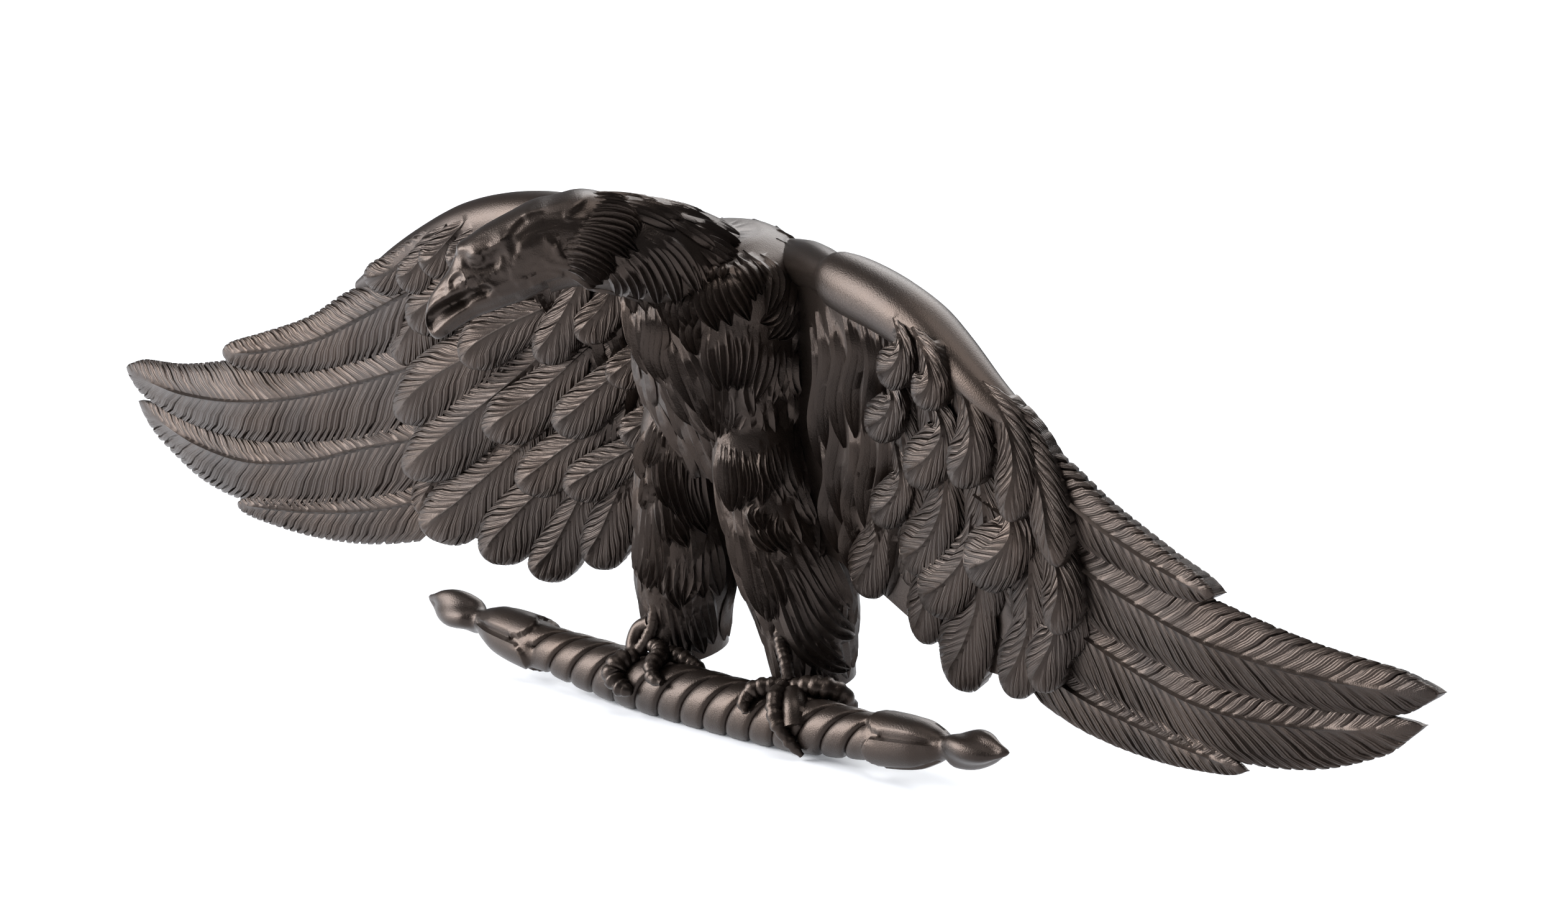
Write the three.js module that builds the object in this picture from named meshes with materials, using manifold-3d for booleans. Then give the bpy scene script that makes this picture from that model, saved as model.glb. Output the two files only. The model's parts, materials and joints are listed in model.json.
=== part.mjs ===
// Bronze eagle with spread wings, standing on a spiral thunderbolt bar. One casting.
// Millimetres, +Z up, the breast faces -Y, the floor is z = 0 and the bar lies along X.
import * as THREE from 'three';
import { mergeVertices } from 'three/addons/utils/BufferGeometryUtils.js';
import Module from 'manifold-3d';

const wasm = await Module();
wasm.setup();

// Driving dimensions of the whole bird
const halfSpan = 200;
const barHalfLength = 89;
const barRadius = 6.2;
const barBow = 6;
const barSeat = 0.4;
const standingFlat = 0.55;

// Spiral of the bar, and how far apart its sections stand
const spiralLead = 34;
const spiralRibs = 5;
const spiralHalfLength = 50;
const spiralStep = 3.4;
const ribDepth = 0.9;

// The bar: twisted ribs in the middle, a calyx, a neck and a bulb with a flame tip at each end
const barOutline = [
  [0, barRadius],
  [20, 6.1],
  [36, 5.4],
  [spiralHalfLength, 4.4],
  [54, 4.9],
  [64, 4],
  [73, 2.5],
  [77, 3.3],
  [81, 3.9],
  [85, 2.7],
  [barHalfLength, 0.5],
];

// Wing sheet: x, front face y and height z at the top edge, the same two at the lower edge
const wingSheet = [
  [6, 9, 93, 10, 44],
  [20, 5, 96, 9.5, 38],
  [36, -2, 98, 9, 34],
  [55, -6, 97, 8, 27],
  [70, -9, 94, 6, 23],
  [86, -8, 87, 3, 23],
  [105, -5, 76, 0, 21],
  [125, -4, 66, -0.5, 19],
  [150, -4, 55, -1, 22],
  [halfSpan, 6, 44, 6, 34],
];
const sheetEnd = 116;
const sheetThickness = [5, 1.6];
const sheetInset = 2.5;

// A feather's shaft stands this much before its front, its edges this much behind, its back lies in the sheet
const vaneSlope = 0.5;
const bladeBack = 1.3;

// Rolled leading edge of the wing: place along it, centre x, y, z and radius
const wingArm = [
  [0, 36.5, -1, 98, 3.5],
  [0.12, 42, -1.5, 97.6, 5.8],
  [0.35, 57, -3, 95.6, 6.3],
  [0.55, 70, -4, 92, 6.2],
  [0.72, 80, -5, 87.8, 5.4],
  [0.88, 92, -6, 82, 3.8],
  [1, 105, -5, 76, 1.2],
];

// Flight feathers: place along the shaft, x, z, and the vane above and below the shaft
const flightFeathers = [
  { front: 2.0, shaft: [
    [0, 84, 78, 3.5, 9],
    [0.25, 104, 69, 6.6, 8.5],
    [0.5, 120, 62, 5.4, 6.6],
    [0.75, 136, 57.5, 4, 5],
    [0.93, 147, 55.3, 2.6, 3],
    [1, 151.5, 54.6, 0.8, 0.8],
  ] },
  { front: 1.2, shaft: [
    [0, 84, 62.5, 8, 11],
    [0.2, 108, 54.5, 9, 12],
    [0.4, 128, 48.5, 9, 10],
    [0.6, 148, 44.5, 9, 8.5],
    [0.8, 172, 42, 6.5, 6.8],
    [0.94, 191, 42, 4.2, 4.6],
    [1, halfSpan, 42.8, 1, 1.2],
  ] },
  { front: 0.4, shaft: [
    [0, 84, 47, 6, 10],
    [0.2, 108, 40.5, 6, 11],
    [0.4, 126, 35, 6, 10],
    [0.6, 146, 31.5, 5, 9.5],
    [0.8, 168, 31.5, 5, 8.5],
    [0.94, 186, 33.8, 3.4, 5],
    [1, 196, 36, 0.9, 1],
  ] },
  { front: -0.4, shaft: [
    [0, 84, 34, 5, 9],
    [0.3, 108, 27, 5, 7.5],
    [0.6, 128, 23.5, 4, 6],
    [0.88, 147, 21.5, 2.4, 3],
    [1, 155, 20.5, 0.6, 0.6],
  ] },
];

// Covert feathers stand in fans round the shoulder: angle below level and reach of the tips in each row
const fanCentre = [16, 102];
const covertRows = [
  { count: 8, first: -32, last: -81, length: [50, 30], width: [17, 12], front: 1.6, bend: 2.5,
    reach: [[-81, 68], [-73, 76], [-66, 86], [-58, 97], [-52, 103], [-44, 111], [-38, 104], [-32, 98]] },
  { count: 6, first: -28, last: -74, length: [36, 26], width: [14, 11], front: 3.0, bend: 2,
    reach: [[-76, 60], [-60, 73], [-52, 79], [-42, 84], [-28, 85]] },
  { count: 6, first: -25, last: -75, length: [30, 22], width: [12, 10], front: 4.0, bend: 1.8,
    reach: [[-76, 50], [-60, 58], [-45, 65], [-25, 72]] },
  { count: 5, first: -22, last: -68, length: [24, 18], width: [11, 9], front: 4.8, bend: 1.5,
    reach: [[-72, 37], [-50, 42], [-35, 50], [-22, 58]] },
];

// Short curled feathers hang under the leading edge: how many, from where to where, and their size
const marginal = { count: 5, from: [52, 95], to: [96, 79], drop: 15, width: 9.5, front: 4.4 };

// Torso: place down it, centre x, y, z, half width, half depth
const torso = [
  [0, 0, 2, 101, 10, 8],
  [0.12, 0, 2.5, 98, 18, 14.5],
  [0.3, 0, 2.5, 92, 21.5, 17],
  [0.5, 0, 2.5, 83, 20.5, 16.5],
  [0.7, 0, 3.5, 73, 19.5, 14.5],
  [0.85, 0, 5, 64, 18, 12],
  [1, 0, 7, 53, 13, 8],
];
const shoulder = [
  [0, 0, 13, 93, 5, 5],
  [0.4, 14, 11, 95.5, 5, 5],
  [0.75, 27, 5, 97.5, 4.6, 4.6],
  [1, 40, -1, 98, 4, 4],
];

// Feathered leg from the hip to the hanging hind feathers
const leg = [
  [0, 9, 5, 70, 8, 9],
  [0.2, 11, 4, 59, 8.5, 10],
  [0.5, 14.4, 7.5, 41, 9, 12],
  [0.7, 18, 11, 29, 8.5, 13],
  [0.88, 19.3, 12.3, 18, 7.2, 10.5],
  [1, 19.5, 12.5, 11, 6, 8.5],
];
const tail = [
  [0, 0, 6, 80, 11, 9],
  [0.3, 0, 13, 60, 13, 6.5],
  [0.6, 0, 17, 42, 13, 4.6],
  [0.9, 0, 19.5, 24, 12, 3],
  [1, 0, 20, 18, 9, 2],
];
const lockSink = 1.7;

// Neck and head: place along them, centre x, y, z, half width, half height
const neckAndHead = [
  [0, 0, 8, 91, 15, 8],
  [0.16, 0, -8, 97, 12.5, 9.8],
  [0.32, -1.5, -20, 101.6, 10, 9.6],
  [0.44, -6, -27, 103, 8.6, 9.4],
  [0.58, -11, -32.5, 100.6, 8, 8.8],
  [0.72, -15.5, -37.8, 97.2, 7.6, 8.8],
  [0.84, -19, -41.8, 94, 6.6, 7.8],
  [0.92, -21, -44.2, 92, 5, 6.2],
  [1, -22.3, -45.7, 90.4, 3.6, 4.6],
];
const upperBeak = [
  [0, -18.5, -41.2, 95.6, 4.4, 4.6],
  [0.3, -21.4, -44.6, 93, 4.2, 3.8],
  [0.55, -23.8, -47.4, 89.6, 3.2, 3],
  [0.78, -25.6, -49.5, 85.8, 2.1, 2.1],
  [0.92, -26, -50, 83, 1.2, 1.3],
  [1, -25.7, -49.6, 81.4, 0.4, 0.4],
];
const lowerBeak = [
  [0, -17, -39.6, 89.4, 4.2, 2.6],
  [0.5, -20.8, -43.9, 85.8, 3, 1.8],
  [0.85, -23.6, -47.2, 82.8, 1.9, 1.4],
  [1, -24.8, -48.6, 81.7, 0.7, 0.6],
];

// Brow ridge over each eye: its middle on the head, and points beside it (sideways, x, y, z) from the beak back
const headTurn = THREE.MathUtils.degToRad(49);
const browMiddle = [-19.4, -42.2, 97.4];
const browRun = [
  [3, -3.2, -3.6, -0.4],
  [5.6, 0.5, 0.6, 0.6],
  [6, 4.6, 5.2, 1.6],
];
const browRadius = 1.3;

// Shank and toes of the left foot: points along each, and the girth at its end
const shank = { points: [[17.6, 3, 27], [19.5, 1.6, 20], [21.8, 0.6, 12]], radius: 1.8, endShare: 1 };
const toes = [
  { points: [[21.6, 0.8, 13.2], [17.5, -3.8, 11.8], [15, -7, 7], [14.6, -6.4, 0.8]], radius: 2.5, endShare: 0.45 },
  { points: [[22, 0.4, 13.6], [24.4, -5, 12], [27.8, -7.6, 6.5], [29.6, -6, 0.8]], radius: 2.5, endShare: 0.45 },
  { points: [[22.4, 1.4, 13.2], [28, 2.8, 13.2], [33.5, 4.6, 11.4], [35.5, 7.2, 6.5]], radius: 2.5, endShare: 0.6 },
  { points: [[22, 1.6, 13], [22.4, 6.8, 12], [22.8, 10, 7], [22.6, 9.6, 0.8]], radius: 2.5, endShare: 0.45 },
];

// Colour of the patina
const bronzeColour = '#2b221d';
const bronzeRoughness = 0.42;
const bronzeMetalness = 0.85;

// A row of keys, each starting with its place, read as smooth curves at any place
function readKeys(keys, place) {
  let i = 0;
  while (i < keys.length - 2 && place > keys[i + 1][0]) {
    i += 1;
  }
  const slope = (k, column) => {
    const before = keys[Math.max(k - 1, 0)];
    const after = keys[Math.min(k + 1, keys.length - 1)];
    return (after[column] - before[column]) / (after[0] - before[0]);
  };
  const [a, b] = [keys[i], keys[i + 1]];
  const gap = b[0] - a[0];
  const t = THREE.MathUtils.clamp((place - a[0]) / gap, 0, 1);
  return a.map((value, column) => (
    value * (2 * t ** 3 - 3 * t ** 2 + 1)
    + slope(i, column) * gap * (t ** 3 - 2 * t ** 2 + t)
    + b[column] * (3 * t ** 2 - 2 * t ** 3)
    + slope(i + 1, column) * gap * (t ** 3 - t ** 2)
  ));
}

// A closed solid through rings of points, capped at both ends; its quads can be split the leaning way
function loft(rings, leaning = false) {
  const sides = rings[0].length;
  const points = rings.flat();
  const triangles = [];
  for (let i = 0; i + 1 < rings.length; i += 1) {
    for (let j = 0; j < sides; j += 1) {
      const a = i * sides + j;
      const b = i * sides + (j + 1) % sides;
      const quad = leaning
        ? [a, b, a + sides, b, b + sides, a + sides]
        : [a, b, b + sides, a, b + sides, a + sides];
      triangles.push(...quad);
    }
  }
  for (const [ring, turned] of [[0, true], [rings.length - 1, false]]) {
    const middle = points.length;
    const sum = rings[ring].reduce((total, p) => total.add(p), new THREE.Vector3());
    points.push(sum.divideScalar(sides));
    for (let j = 0; j < sides; j += 1) {
      const a = ring * sides + j;
      const b = ring * sides + (j + 1) % sides;
      triangles.push(...(turned ? [b, a, middle] : [a, b, middle]));
    }
  }
  return outward(points, triangles);
}

// The solid of a point list and its triangles, turned so that its faces point out
function outward(points, triangles) {
  let volume = 0;
  for (let i = 0; i < triangles.length; i += 3) {
    const [a, b, c] = [0, 1, 2].map((k) => points[triangles[i + k]]);
    volume += a.dot(new THREE.Vector3().crossVectors(b, c));
  }
  const order = volume > 0 ? triangles : [...triangles].reverse();
  const geometry = new THREE.BufferGeometry();
  geometry.setAttribute('position', new THREE.Float32BufferAttribute(points.flatMap((p) => p.toArray()), 3));
  geometry.setIndex(order);
  return toSolid(geometry);
}

function toSolid(geometry) {
  const bare = geometry.clone();
  bare.deleteAttribute('normal');
  bare.deleteAttribute('uv');
  const merged = mergeVertices(bare, 1e-4);
  return new wasm.Manifold(new wasm.Mesh({
    numProp: 3,
    vertProperties: new Float32Array(merged.attributes.position.array),
    triVerts: new Uint32Array(merged.index.array),
  }));
}

function join(solids) {
  return solids.reduce((whole, solid) => whole.add(solid));
}

// A limb is an oval section along a smooth line: its skin at a place and an angle, and the way out there
function limbSkin(keys, sideways, place, angle) {
  const [, x, y, z, halfWide, halfDeep] = readKeys(keys, place);
  const step = 0.01;
  const before = readKeys(keys, Math.max(place - step, 0));
  const after = readKeys(keys, Math.min(place + step, 1));
  const along = new THREE.Vector3(after[1] - before[1], after[2] - before[2], after[3] - before[3]).normalize();
  const across = sideways.clone().addScaledVector(along, -sideways.dot(along)).normalize();
  const over = new THREE.Vector3().crossVectors(along, across);
  const at = new THREE.Vector3(x, y, z);
  at.addScaledVector(across, halfWide * Math.cos(angle)).addScaledVector(over, halfDeep * Math.sin(angle));
  const out = across.multiplyScalar(Math.cos(angle) / halfWide).addScaledVector(over, Math.sin(angle) / halfDeep);
  return { at, out: out.normalize() };
}

function limb(keys, sideways, stations, sides) {
  const rings = [];
  for (let i = 0; i <= stations; i += 1) {
    const ring = [];
    for (let j = 0; j < sides; j += 1) {
      ring.push(limbSkin(keys, sideways, i / stations, (2 * Math.PI * j) / sides).at);
    }
    rings.push(ring);
  }
  return loft(rings);
}

// A lock of feathers lies on a limb's skin from one place and angle to another, raised and pointed
function lock(keys, sideways, from, to, wide, high) {
  const shape = [[0, 0.6, 0.3], [0.5, 1, 1], [1, 0.12, 0.35]];
  const rings = shape.map(([s, girth, rise]) => {
    const place = THREE.MathUtils.lerp(from[0], to[0], s);
    const angle = THREE.MathUtils.lerp(from[1], to[1], s * s);
    const here = limbSkin(keys, sideways, place, angle);
    const ahead = limbSkin(keys, sideways, place + (to[0] - from[0]) * 0.05, angle + (to[1] - from[1]) * 0.1 * s);
    const along = ahead.at.clone().sub(here.at).normalize();
    const across = new THREE.Vector3().crossVectors(here.out, along).normalize();
    const edge = (side) => here.at.clone().addScaledVector(across, side * wide * girth / 2)
      .addScaledVector(here.out, -lockSink);
    return [edge(-1), here.at.clone().addScaledVector(here.out, high * rise), edge(1)];
  });
  return loft(rings);
}

// Front face of the wing sheet at a place given by x and z
function sheetFront(x, z) {
  const [, topY, topZ, lowY, lowZ] = readKeys(wingSheet, x);
  return topY + (lowY - topY) * THREE.MathUtils.clamp((topZ - z) / (topZ - lowZ), -0.2, 1.2);
}

function sheet() {
  const rings = [];
  const count = 6;
  for (let i = 0; i <= count; i += 1) {
    const x = THREE.MathUtils.lerp(wingSheet[0][0], sheetEnd, i / count);
    const thick = THREE.MathUtils.lerp(...sheetThickness, i / count);
    const [, , topZ, , lowZ] = readKeys(wingSheet, x);
    const heights = [0, 0.5, 1].map((t) => THREE.MathUtils.lerp(topZ - sheetInset, lowZ + sheetInset, t));
    const front = heights.map((z) => new THREE.Vector3(x, sheetFront(x, z), z));
    const back = heights.map((z) => new THREE.Vector3(x, sheetFront(x, z) + thick, z)).reverse();
    rings.push([...front, ...back]);
  }
  return loft(rings);
}

// A feather is a blade on the sheet: raised shaft, sloping vanes, blunt edges sunk into the sheet behind
function blade(stations, backs) {
  const rings = stations.map(({ x, z, nx, nz, up, down, front }) => {
    const point = (offset, rise) => {
      const [px, pz] = [x + nx * offset, z + nz * offset];
      return new THREE.Vector3(px, sheetFront(px, pz) - rise, pz);
    };
    const back = backs.map((share) => point(share * (share > 0 ? up : down), -bladeBack));
    return [point(up, front - vaneSlope), point(0, front + vaneSlope), point(-down, front - vaneSlope), ...back];
  });
  return loft(rings);
}

function flightFeather({ front, shaft }) {
  const stations = [];
  const count = 6;
  for (let i = 0; i <= count; i += 1) {
    const place = 1 - (1 - i / count) ** 1.3;
    const [, x, z, up, down] = readKeys(shaft, place);
    const [, xb, zb] = readKeys(shaft, Math.max(place - 0.02, 0));
    const [, xa, za] = readKeys(shaft, Math.min(place + 0.02, 1));
    const run = Math.hypot(xa - xb, za - zb);
    stations.push({ x, z, nx: -(za - zb) / run, nz: (xa - xb) / run, up, down, front });
  }
  return blade(stations, [-1, 1]);
}

// A covert from its root to its tip, bent sideways, rising to a rounded swollen end
function covert(root, tip, width, bend, front) {
  const girth = [[0, 0.7], [0.55, 1], [0.86, 0.84], [1, 0.3]];
  const run = Math.hypot(tip[0] - root[0], tip[1] - root[1]);
  const [nx, nz] = [-(tip[1] - root[1]) / run, (tip[0] - root[0]) / run];
  return blade(girth.map(([s, share]) => ({
    x: THREE.MathUtils.lerp(root[0], tip[0], s) + nx * bend * 4 * s * (1 - s),
    z: THREE.MathUtils.lerp(root[1], tip[1], s) + nz * bend * 4 * s * (1 - s),
    nx,
    nz,
    up: share * width / 2,
    down: share * width / 2,
    front: front * (0.25 + 0.75 * Math.sin(Math.min(s / 0.8, 1) * Math.PI / 2)),
  })), [-1, 1]);
}

function covertRow({ count, first, last, length, width, front, bend, reach }) {
  const feathers = [];
  for (let i = 0; i < count; i += 1) {
    const t = i / (count - 1);
    const degrees = THREE.MathUtils.lerp(first, last, t);
    const angle = THREE.MathUtils.degToRad(degrees);
    const far = readKeys(reach, degrees)[1];
    const near = far - THREE.MathUtils.lerp(...length, t);
    const at = (radius) => [fanCentre[0] + radius * Math.cos(angle), fanCentre[1] + radius * Math.sin(angle)];
    feathers.push(covert(at(near), at(far), THREE.MathUtils.lerp(...width, t), bend, front));
  }
  return feathers;
}

function marginalCoverts({ count, from, to, drop, width, front }) {
  const feathers = [];
  for (let i = 0; i < count; i += 1) {
    const t = i / (count - 1);
    const x = THREE.MathUtils.lerp(from[0], to[0], t);
    const z = THREE.MathUtils.lerp(from[1], to[1], t ** 1.6);
    const fall = drop * (1 - 0.35 * t);
    feathers.push(covert([x, z], [x + fall * 0.25, z - fall], width, -1, front * (1 - 0.4 * t)));
  }
  return feathers;
}

function arm() {
  const rings = [];
  const [stations, sides] = [8, 7];
  for (let i = 0; i <= stations; i += 1) {
    const [, x, y, z, radius] = readKeys(wingArm, i / stations);
    const ring = [];
    for (let j = 0; j < sides; j += 1) {
      const angle = (2 * Math.PI * j) / sides;
      ring.push(new THREE.Vector3(x, y + radius * Math.cos(angle), z + radius * Math.sin(angle)));
    }
    rings.push(ring);
  }
  return loft(rings);
}

function wing() {
  return join([
    sheet(),
    arm(),
    ...flightFeathers.map(flightFeather),
    ...covertRows.flatMap(covertRow),
    ...marginalCoverts(marginal),
  ]);
}

// The bar's ends curve upwards
function barAxisHeight(x) {
  return barRadius + barBow * (x / barHalfLength) ** 2 - barSeat;
}

function bar() {
  const sides = spiralRibs * 2;
  const rings = [];
  const half = Math.round(spiralHalfLength / spiralStep);
  const places = [];
  for (let i = -half; i <= half; i += 1) {
    places.push((spiralHalfLength * i) / half);
  }
  const ends = barOutline.map(([x]) => x).filter((x) => x > spiralHalfLength);
  for (const x of [...ends.map((e) => -e).reverse(), ...places, ...ends]) {
    const radius = readKeys(barOutline, Math.abs(x))[1];
    const inSpiral = Math.abs(x) <= spiralHalfLength;
    const twist = (2 * Math.PI * THREE.MathUtils.clamp(x, -spiralHalfLength, spiralHalfLength)) / spiralLead;
    const ring = [];
    for (let j = 0; j < sides; j += 1) {
      const angle = twist + (2 * Math.PI * j) / sides;
      const r = radius - (inSpiral && j % 2 === 0 ? ribDepth : 0);
      ring.push(new THREE.Vector3(x, -r * Math.sin(angle), barAxisHeight(x) - r * Math.cos(angle)));
    }
    rings.push(ring);
  }
  return loft(rings, true);
}

// A round rod through a few points, thinner towards its end
function rod({ points, radius, endShare }) {
  const sides = 5;
  const curve = new THREE.CatmullRomCurve3(points.map((p) => new THREE.Vector3(...p)));
  const stations = points.length + 1;
  const frames = curve.computeFrenetFrames(stations, false);
  const rings = [];
  for (let i = 0; i <= stations; i += 1) {
    const at = curve.getPointAt(i / stations);
    const r = radius * THREE.MathUtils.lerp(1, endShare, (i / stations) ** 2);
    const ring = [];
    for (let j = 0; j < sides; j += 1) {
      const angle = (2 * Math.PI * j) / sides;
      ring.push(at.clone().addScaledVector(frames.normals[i], r * Math.cos(angle))
        .addScaledVector(frames.binormals[i], r * Math.sin(angle)));
    }
    rings.push(ring);
  }
  return loft(rings);
}

// Foot: a thin shank and four toes bent over the bar, their claws down on the floor
function foot() {
  return [shank, ...toes].map(rod);
}

// Locks in staggered rows down a limb: angles from the front outwards, slanting as they fall
function lockRows(keys, sideways, { rows, columns, first, last, facing, spread, drop, slant, wide, high }) {
  const locks = [];
  for (let i = 0; i < rows; i += 1) {
    const place = THREE.MathUtils.lerp(first, last, i / Math.max(rows - 1, 1));
    for (let j = 0; j < columns; j += 1) {
      const across = (j + (i % 2) / 2 + 0.25) / columns - 0.5;
      const angle = facing + across * spread;
      locks.push(lock(keys, sideways, [place, angle], [place + drop, angle + slant * Math.sign(across)], wide, high));
    }
  }
  return locks;
}

const leftward = new THREE.Vector3(1, 0, 0);
const upward = new THREE.Vector3(0, 0, 1);
const lateral = new THREE.Vector3(-Math.sin(headTurn), Math.cos(headTurn), 0).multiplyScalar(-1);

function headAndNeck() {
  const brow = [-1, 1].map((side) => rod({
    points: browRun.map(([sideways, ...offset]) => new THREE.Vector3(...browMiddle)
      .addScaledVector(lateral, side * sideways)
      .add(new THREE.Vector3(...offset))
      .toArray()),
    radius: browRadius,
    endShare: 0.7,
  }));
  return [
    limb(neckAndHead, lateral, 10, 9),
    limb(upperBeak, lateral, 5, 7),
    limb(lowerBeak, lateral, 3, 6),
    ...brow,
    ...lockRows(neckAndHead, lateral, {
      rows: 2, columns: 4, first: 0.5, last: 0.3, facing: Math.PI / 2, spread: 5,
      drop: -0.24, slant: 0.4, wide: 9, high: 1.8,
    }),
  ];
}

const mirrored = (solid) => solid.mirror([1, 0, 0]);
const bothSides = (solids) => solids.flatMap((solid) => [solid, mirrored(solid)]);

function eagle() {
  const body = join([
    limb(torso, leftward, 8, 11),
    limb(tail, leftward, 4, 6),
    ...lockRows(torso, leftward, {
      rows: 2, columns: 3, first: 0.38, last: 0.68, facing: Math.PI / 2, spread: 2.7,
      drop: 0.3, slant: 0.2, wide: 10, high: 2,
    }),
    ...bothSides([
      wing(),
      limb(shoulder, upward, 3, 6),
      limb(leg, leftward, 6, 8),
      ...lockRows(leg, leftward, {
        rows: 2, columns: 2, first: 0.18, last: 0.54, facing: Math.PI * 0.45, spread: 2.4,
        drop: 0.36, slant: 0.2, wide: 9, high: 1.8,
      }),
      ...foot(),
    ]),
    ...headAndNeck(),
    bar(),
  ]);
  const floor = toSolid(new THREE.BoxGeometry(3 * halfSpan, halfSpan, barRadius).translate(0, 0, -barRadius / 2));
  const standing = body.translate([0, 0, -standingFlat]).subtract(floor);
  return join(standing.decompose().filter((shell) => shell.volume() > 0));
}

function toGeometry(solid) {
  const { vertProperties, triVerts } = solid.getMesh();
  const geometry = new THREE.BufferGeometry();
  geometry.setAttribute('position', new THREE.BufferAttribute(new Float32Array(vertProperties), 3));
  geometry.setIndex(new THREE.BufferAttribute(new Uint32Array(triVerts), 1));
  geometry.computeVertexNormals();
  return geometry;
}

const part = new THREE.Group();
const bronze = new THREE.MeshStandardMaterial({
  color: bronzeColour,
  roughness: bronzeRoughness,
  metalness: bronzeMetalness,
});
const eagleMesh = new THREE.Mesh(toGeometry(eagle()), bronze);
eagleMesh.name = 'eagle';
part.add(eagleMesh);

export default part;
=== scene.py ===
import json
import math

import bmesh
import bpy
import numpy as np
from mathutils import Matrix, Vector

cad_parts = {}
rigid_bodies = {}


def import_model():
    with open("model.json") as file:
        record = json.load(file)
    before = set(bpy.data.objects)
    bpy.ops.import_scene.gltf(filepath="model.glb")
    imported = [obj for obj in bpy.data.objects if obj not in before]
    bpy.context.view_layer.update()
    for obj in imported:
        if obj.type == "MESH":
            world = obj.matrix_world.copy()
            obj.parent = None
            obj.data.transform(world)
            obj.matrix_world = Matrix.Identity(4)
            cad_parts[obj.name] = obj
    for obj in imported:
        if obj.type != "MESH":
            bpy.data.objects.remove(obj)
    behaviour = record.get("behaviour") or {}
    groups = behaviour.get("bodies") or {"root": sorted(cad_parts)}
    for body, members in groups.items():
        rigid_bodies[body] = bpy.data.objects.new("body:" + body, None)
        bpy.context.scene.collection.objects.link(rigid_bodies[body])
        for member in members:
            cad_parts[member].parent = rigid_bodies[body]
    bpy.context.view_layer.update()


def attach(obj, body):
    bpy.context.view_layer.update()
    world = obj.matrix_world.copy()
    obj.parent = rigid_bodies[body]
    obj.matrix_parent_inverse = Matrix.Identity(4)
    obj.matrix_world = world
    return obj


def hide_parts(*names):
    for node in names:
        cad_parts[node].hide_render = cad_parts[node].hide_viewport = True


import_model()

# The bar the bird stands on: a thick rod twisted into three round ribs, running out at each end in a
# calyx of leaves, a thin neck and a bulb with a small flame. Cast in one with the bird.
# All sizes are millimetres. Each form is a closed skin; all skins are fused into one at the end.
metal = []


def along(keys, places):
    """Smooth curves through rows of numbers that each start with their place, read at the places."""
    keys = np.asarray(keys, float)
    last = len(keys) - 1
    slope = np.array([
        (keys[min(i + 1, last)] - keys[max(i - 1, 0)])
        / (keys[min(i + 1, last), 0] - keys[max(i - 1, 0), 0])
        for i in range(last + 1)
    ])
    places = np.clip(np.asarray(places, float), keys[0, 0], keys[-1, 0])
    i = np.clip(np.searchsorted(keys[:, 0], places, side="right") - 1, 0, last - 1)
    a, b = keys[i], keys[i + 1]
    gap = (b[..., :1] - a[..., :1])
    t = (places[..., None] - a[..., :1]) / gap
    mixed = (
        a * (2 * t**3 - 3 * t**2 + 1) + slope[i] * gap * (t**3 - 2 * t**2 + t)
        + b * (3 * t**2 - 2 * t**3) + slope[i + 1] * gap * (t**3 - t**2)
    )
    return mixed[..., 1:]


def cast(rings, lines=None):
    """Closes rows of rings into a skin that faces out. lines holds, for each point, the place across
    the chased lines in millimetres and how deep they are cut there."""
    rows, sides = rings.shape[:2]
    if lines is None:
        lines = np.zeros((rows, sides, 2))
    points = np.concatenate([rings.reshape(-1, 3), rings[:1].mean(1), rings[-1:].mean(1)])
    marks = np.concatenate([lines.reshape(-1, 2), lines[:1].mean(1), lines[-1:].mean(1)])
    i = np.arange(rows - 1)[:, None] * sides
    j = np.arange(sides)[None]
    k = (j + 1) % sides
    a, b, c, d = ((i + j).ravel(), (i + k).ravel(), (i + sides + k).ravel(), (i + sides + j).ravel())
    across = np.linalg.norm(points[a] - points[c], axis=1) <= np.linalg.norm(points[b] - points[d], axis=1)
    first = np.stack([a, b, np.where(across, c, d)], 1)
    second = np.stack([np.where(across, a, b), c, d], 1)
    j, k = j.ravel(), k.ravel()
    start = np.stack([k, j, np.full(sides, rows * sides)], 1)
    end = np.stack([j, k, np.full(sides, rows * sides + 1)], 1)
    end[:, :2] += (rows - 1) * sides
    faces = np.concatenate([first, second, start, end])
    p = points[faces]
    if np.einsum("ij,ij->i", p[:, 0], np.cross(p[:, 1], p[:, 2])).sum() < 0:
        faces = faces[:, ::-1]
    metal.append((points, faces, marks))


bar_half, bar_radius, bar_bow, bar_seat = 89, 6.2, 6, 0.95
spiral_half, spiral_lead, ribs, rib_depth = 50, 21, 3, 1.25
bar_outline = [
    [0, 6.2], [20, 6.1], [36, 5.6], [50, 4.8], [54, 4.9], [64, 4.2], [71, 2.2],
    [74.5, 3.4], [79, 3.8], [83, 3], [86, 1.6], [88, 0.9], [89, 0.2],
]


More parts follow.
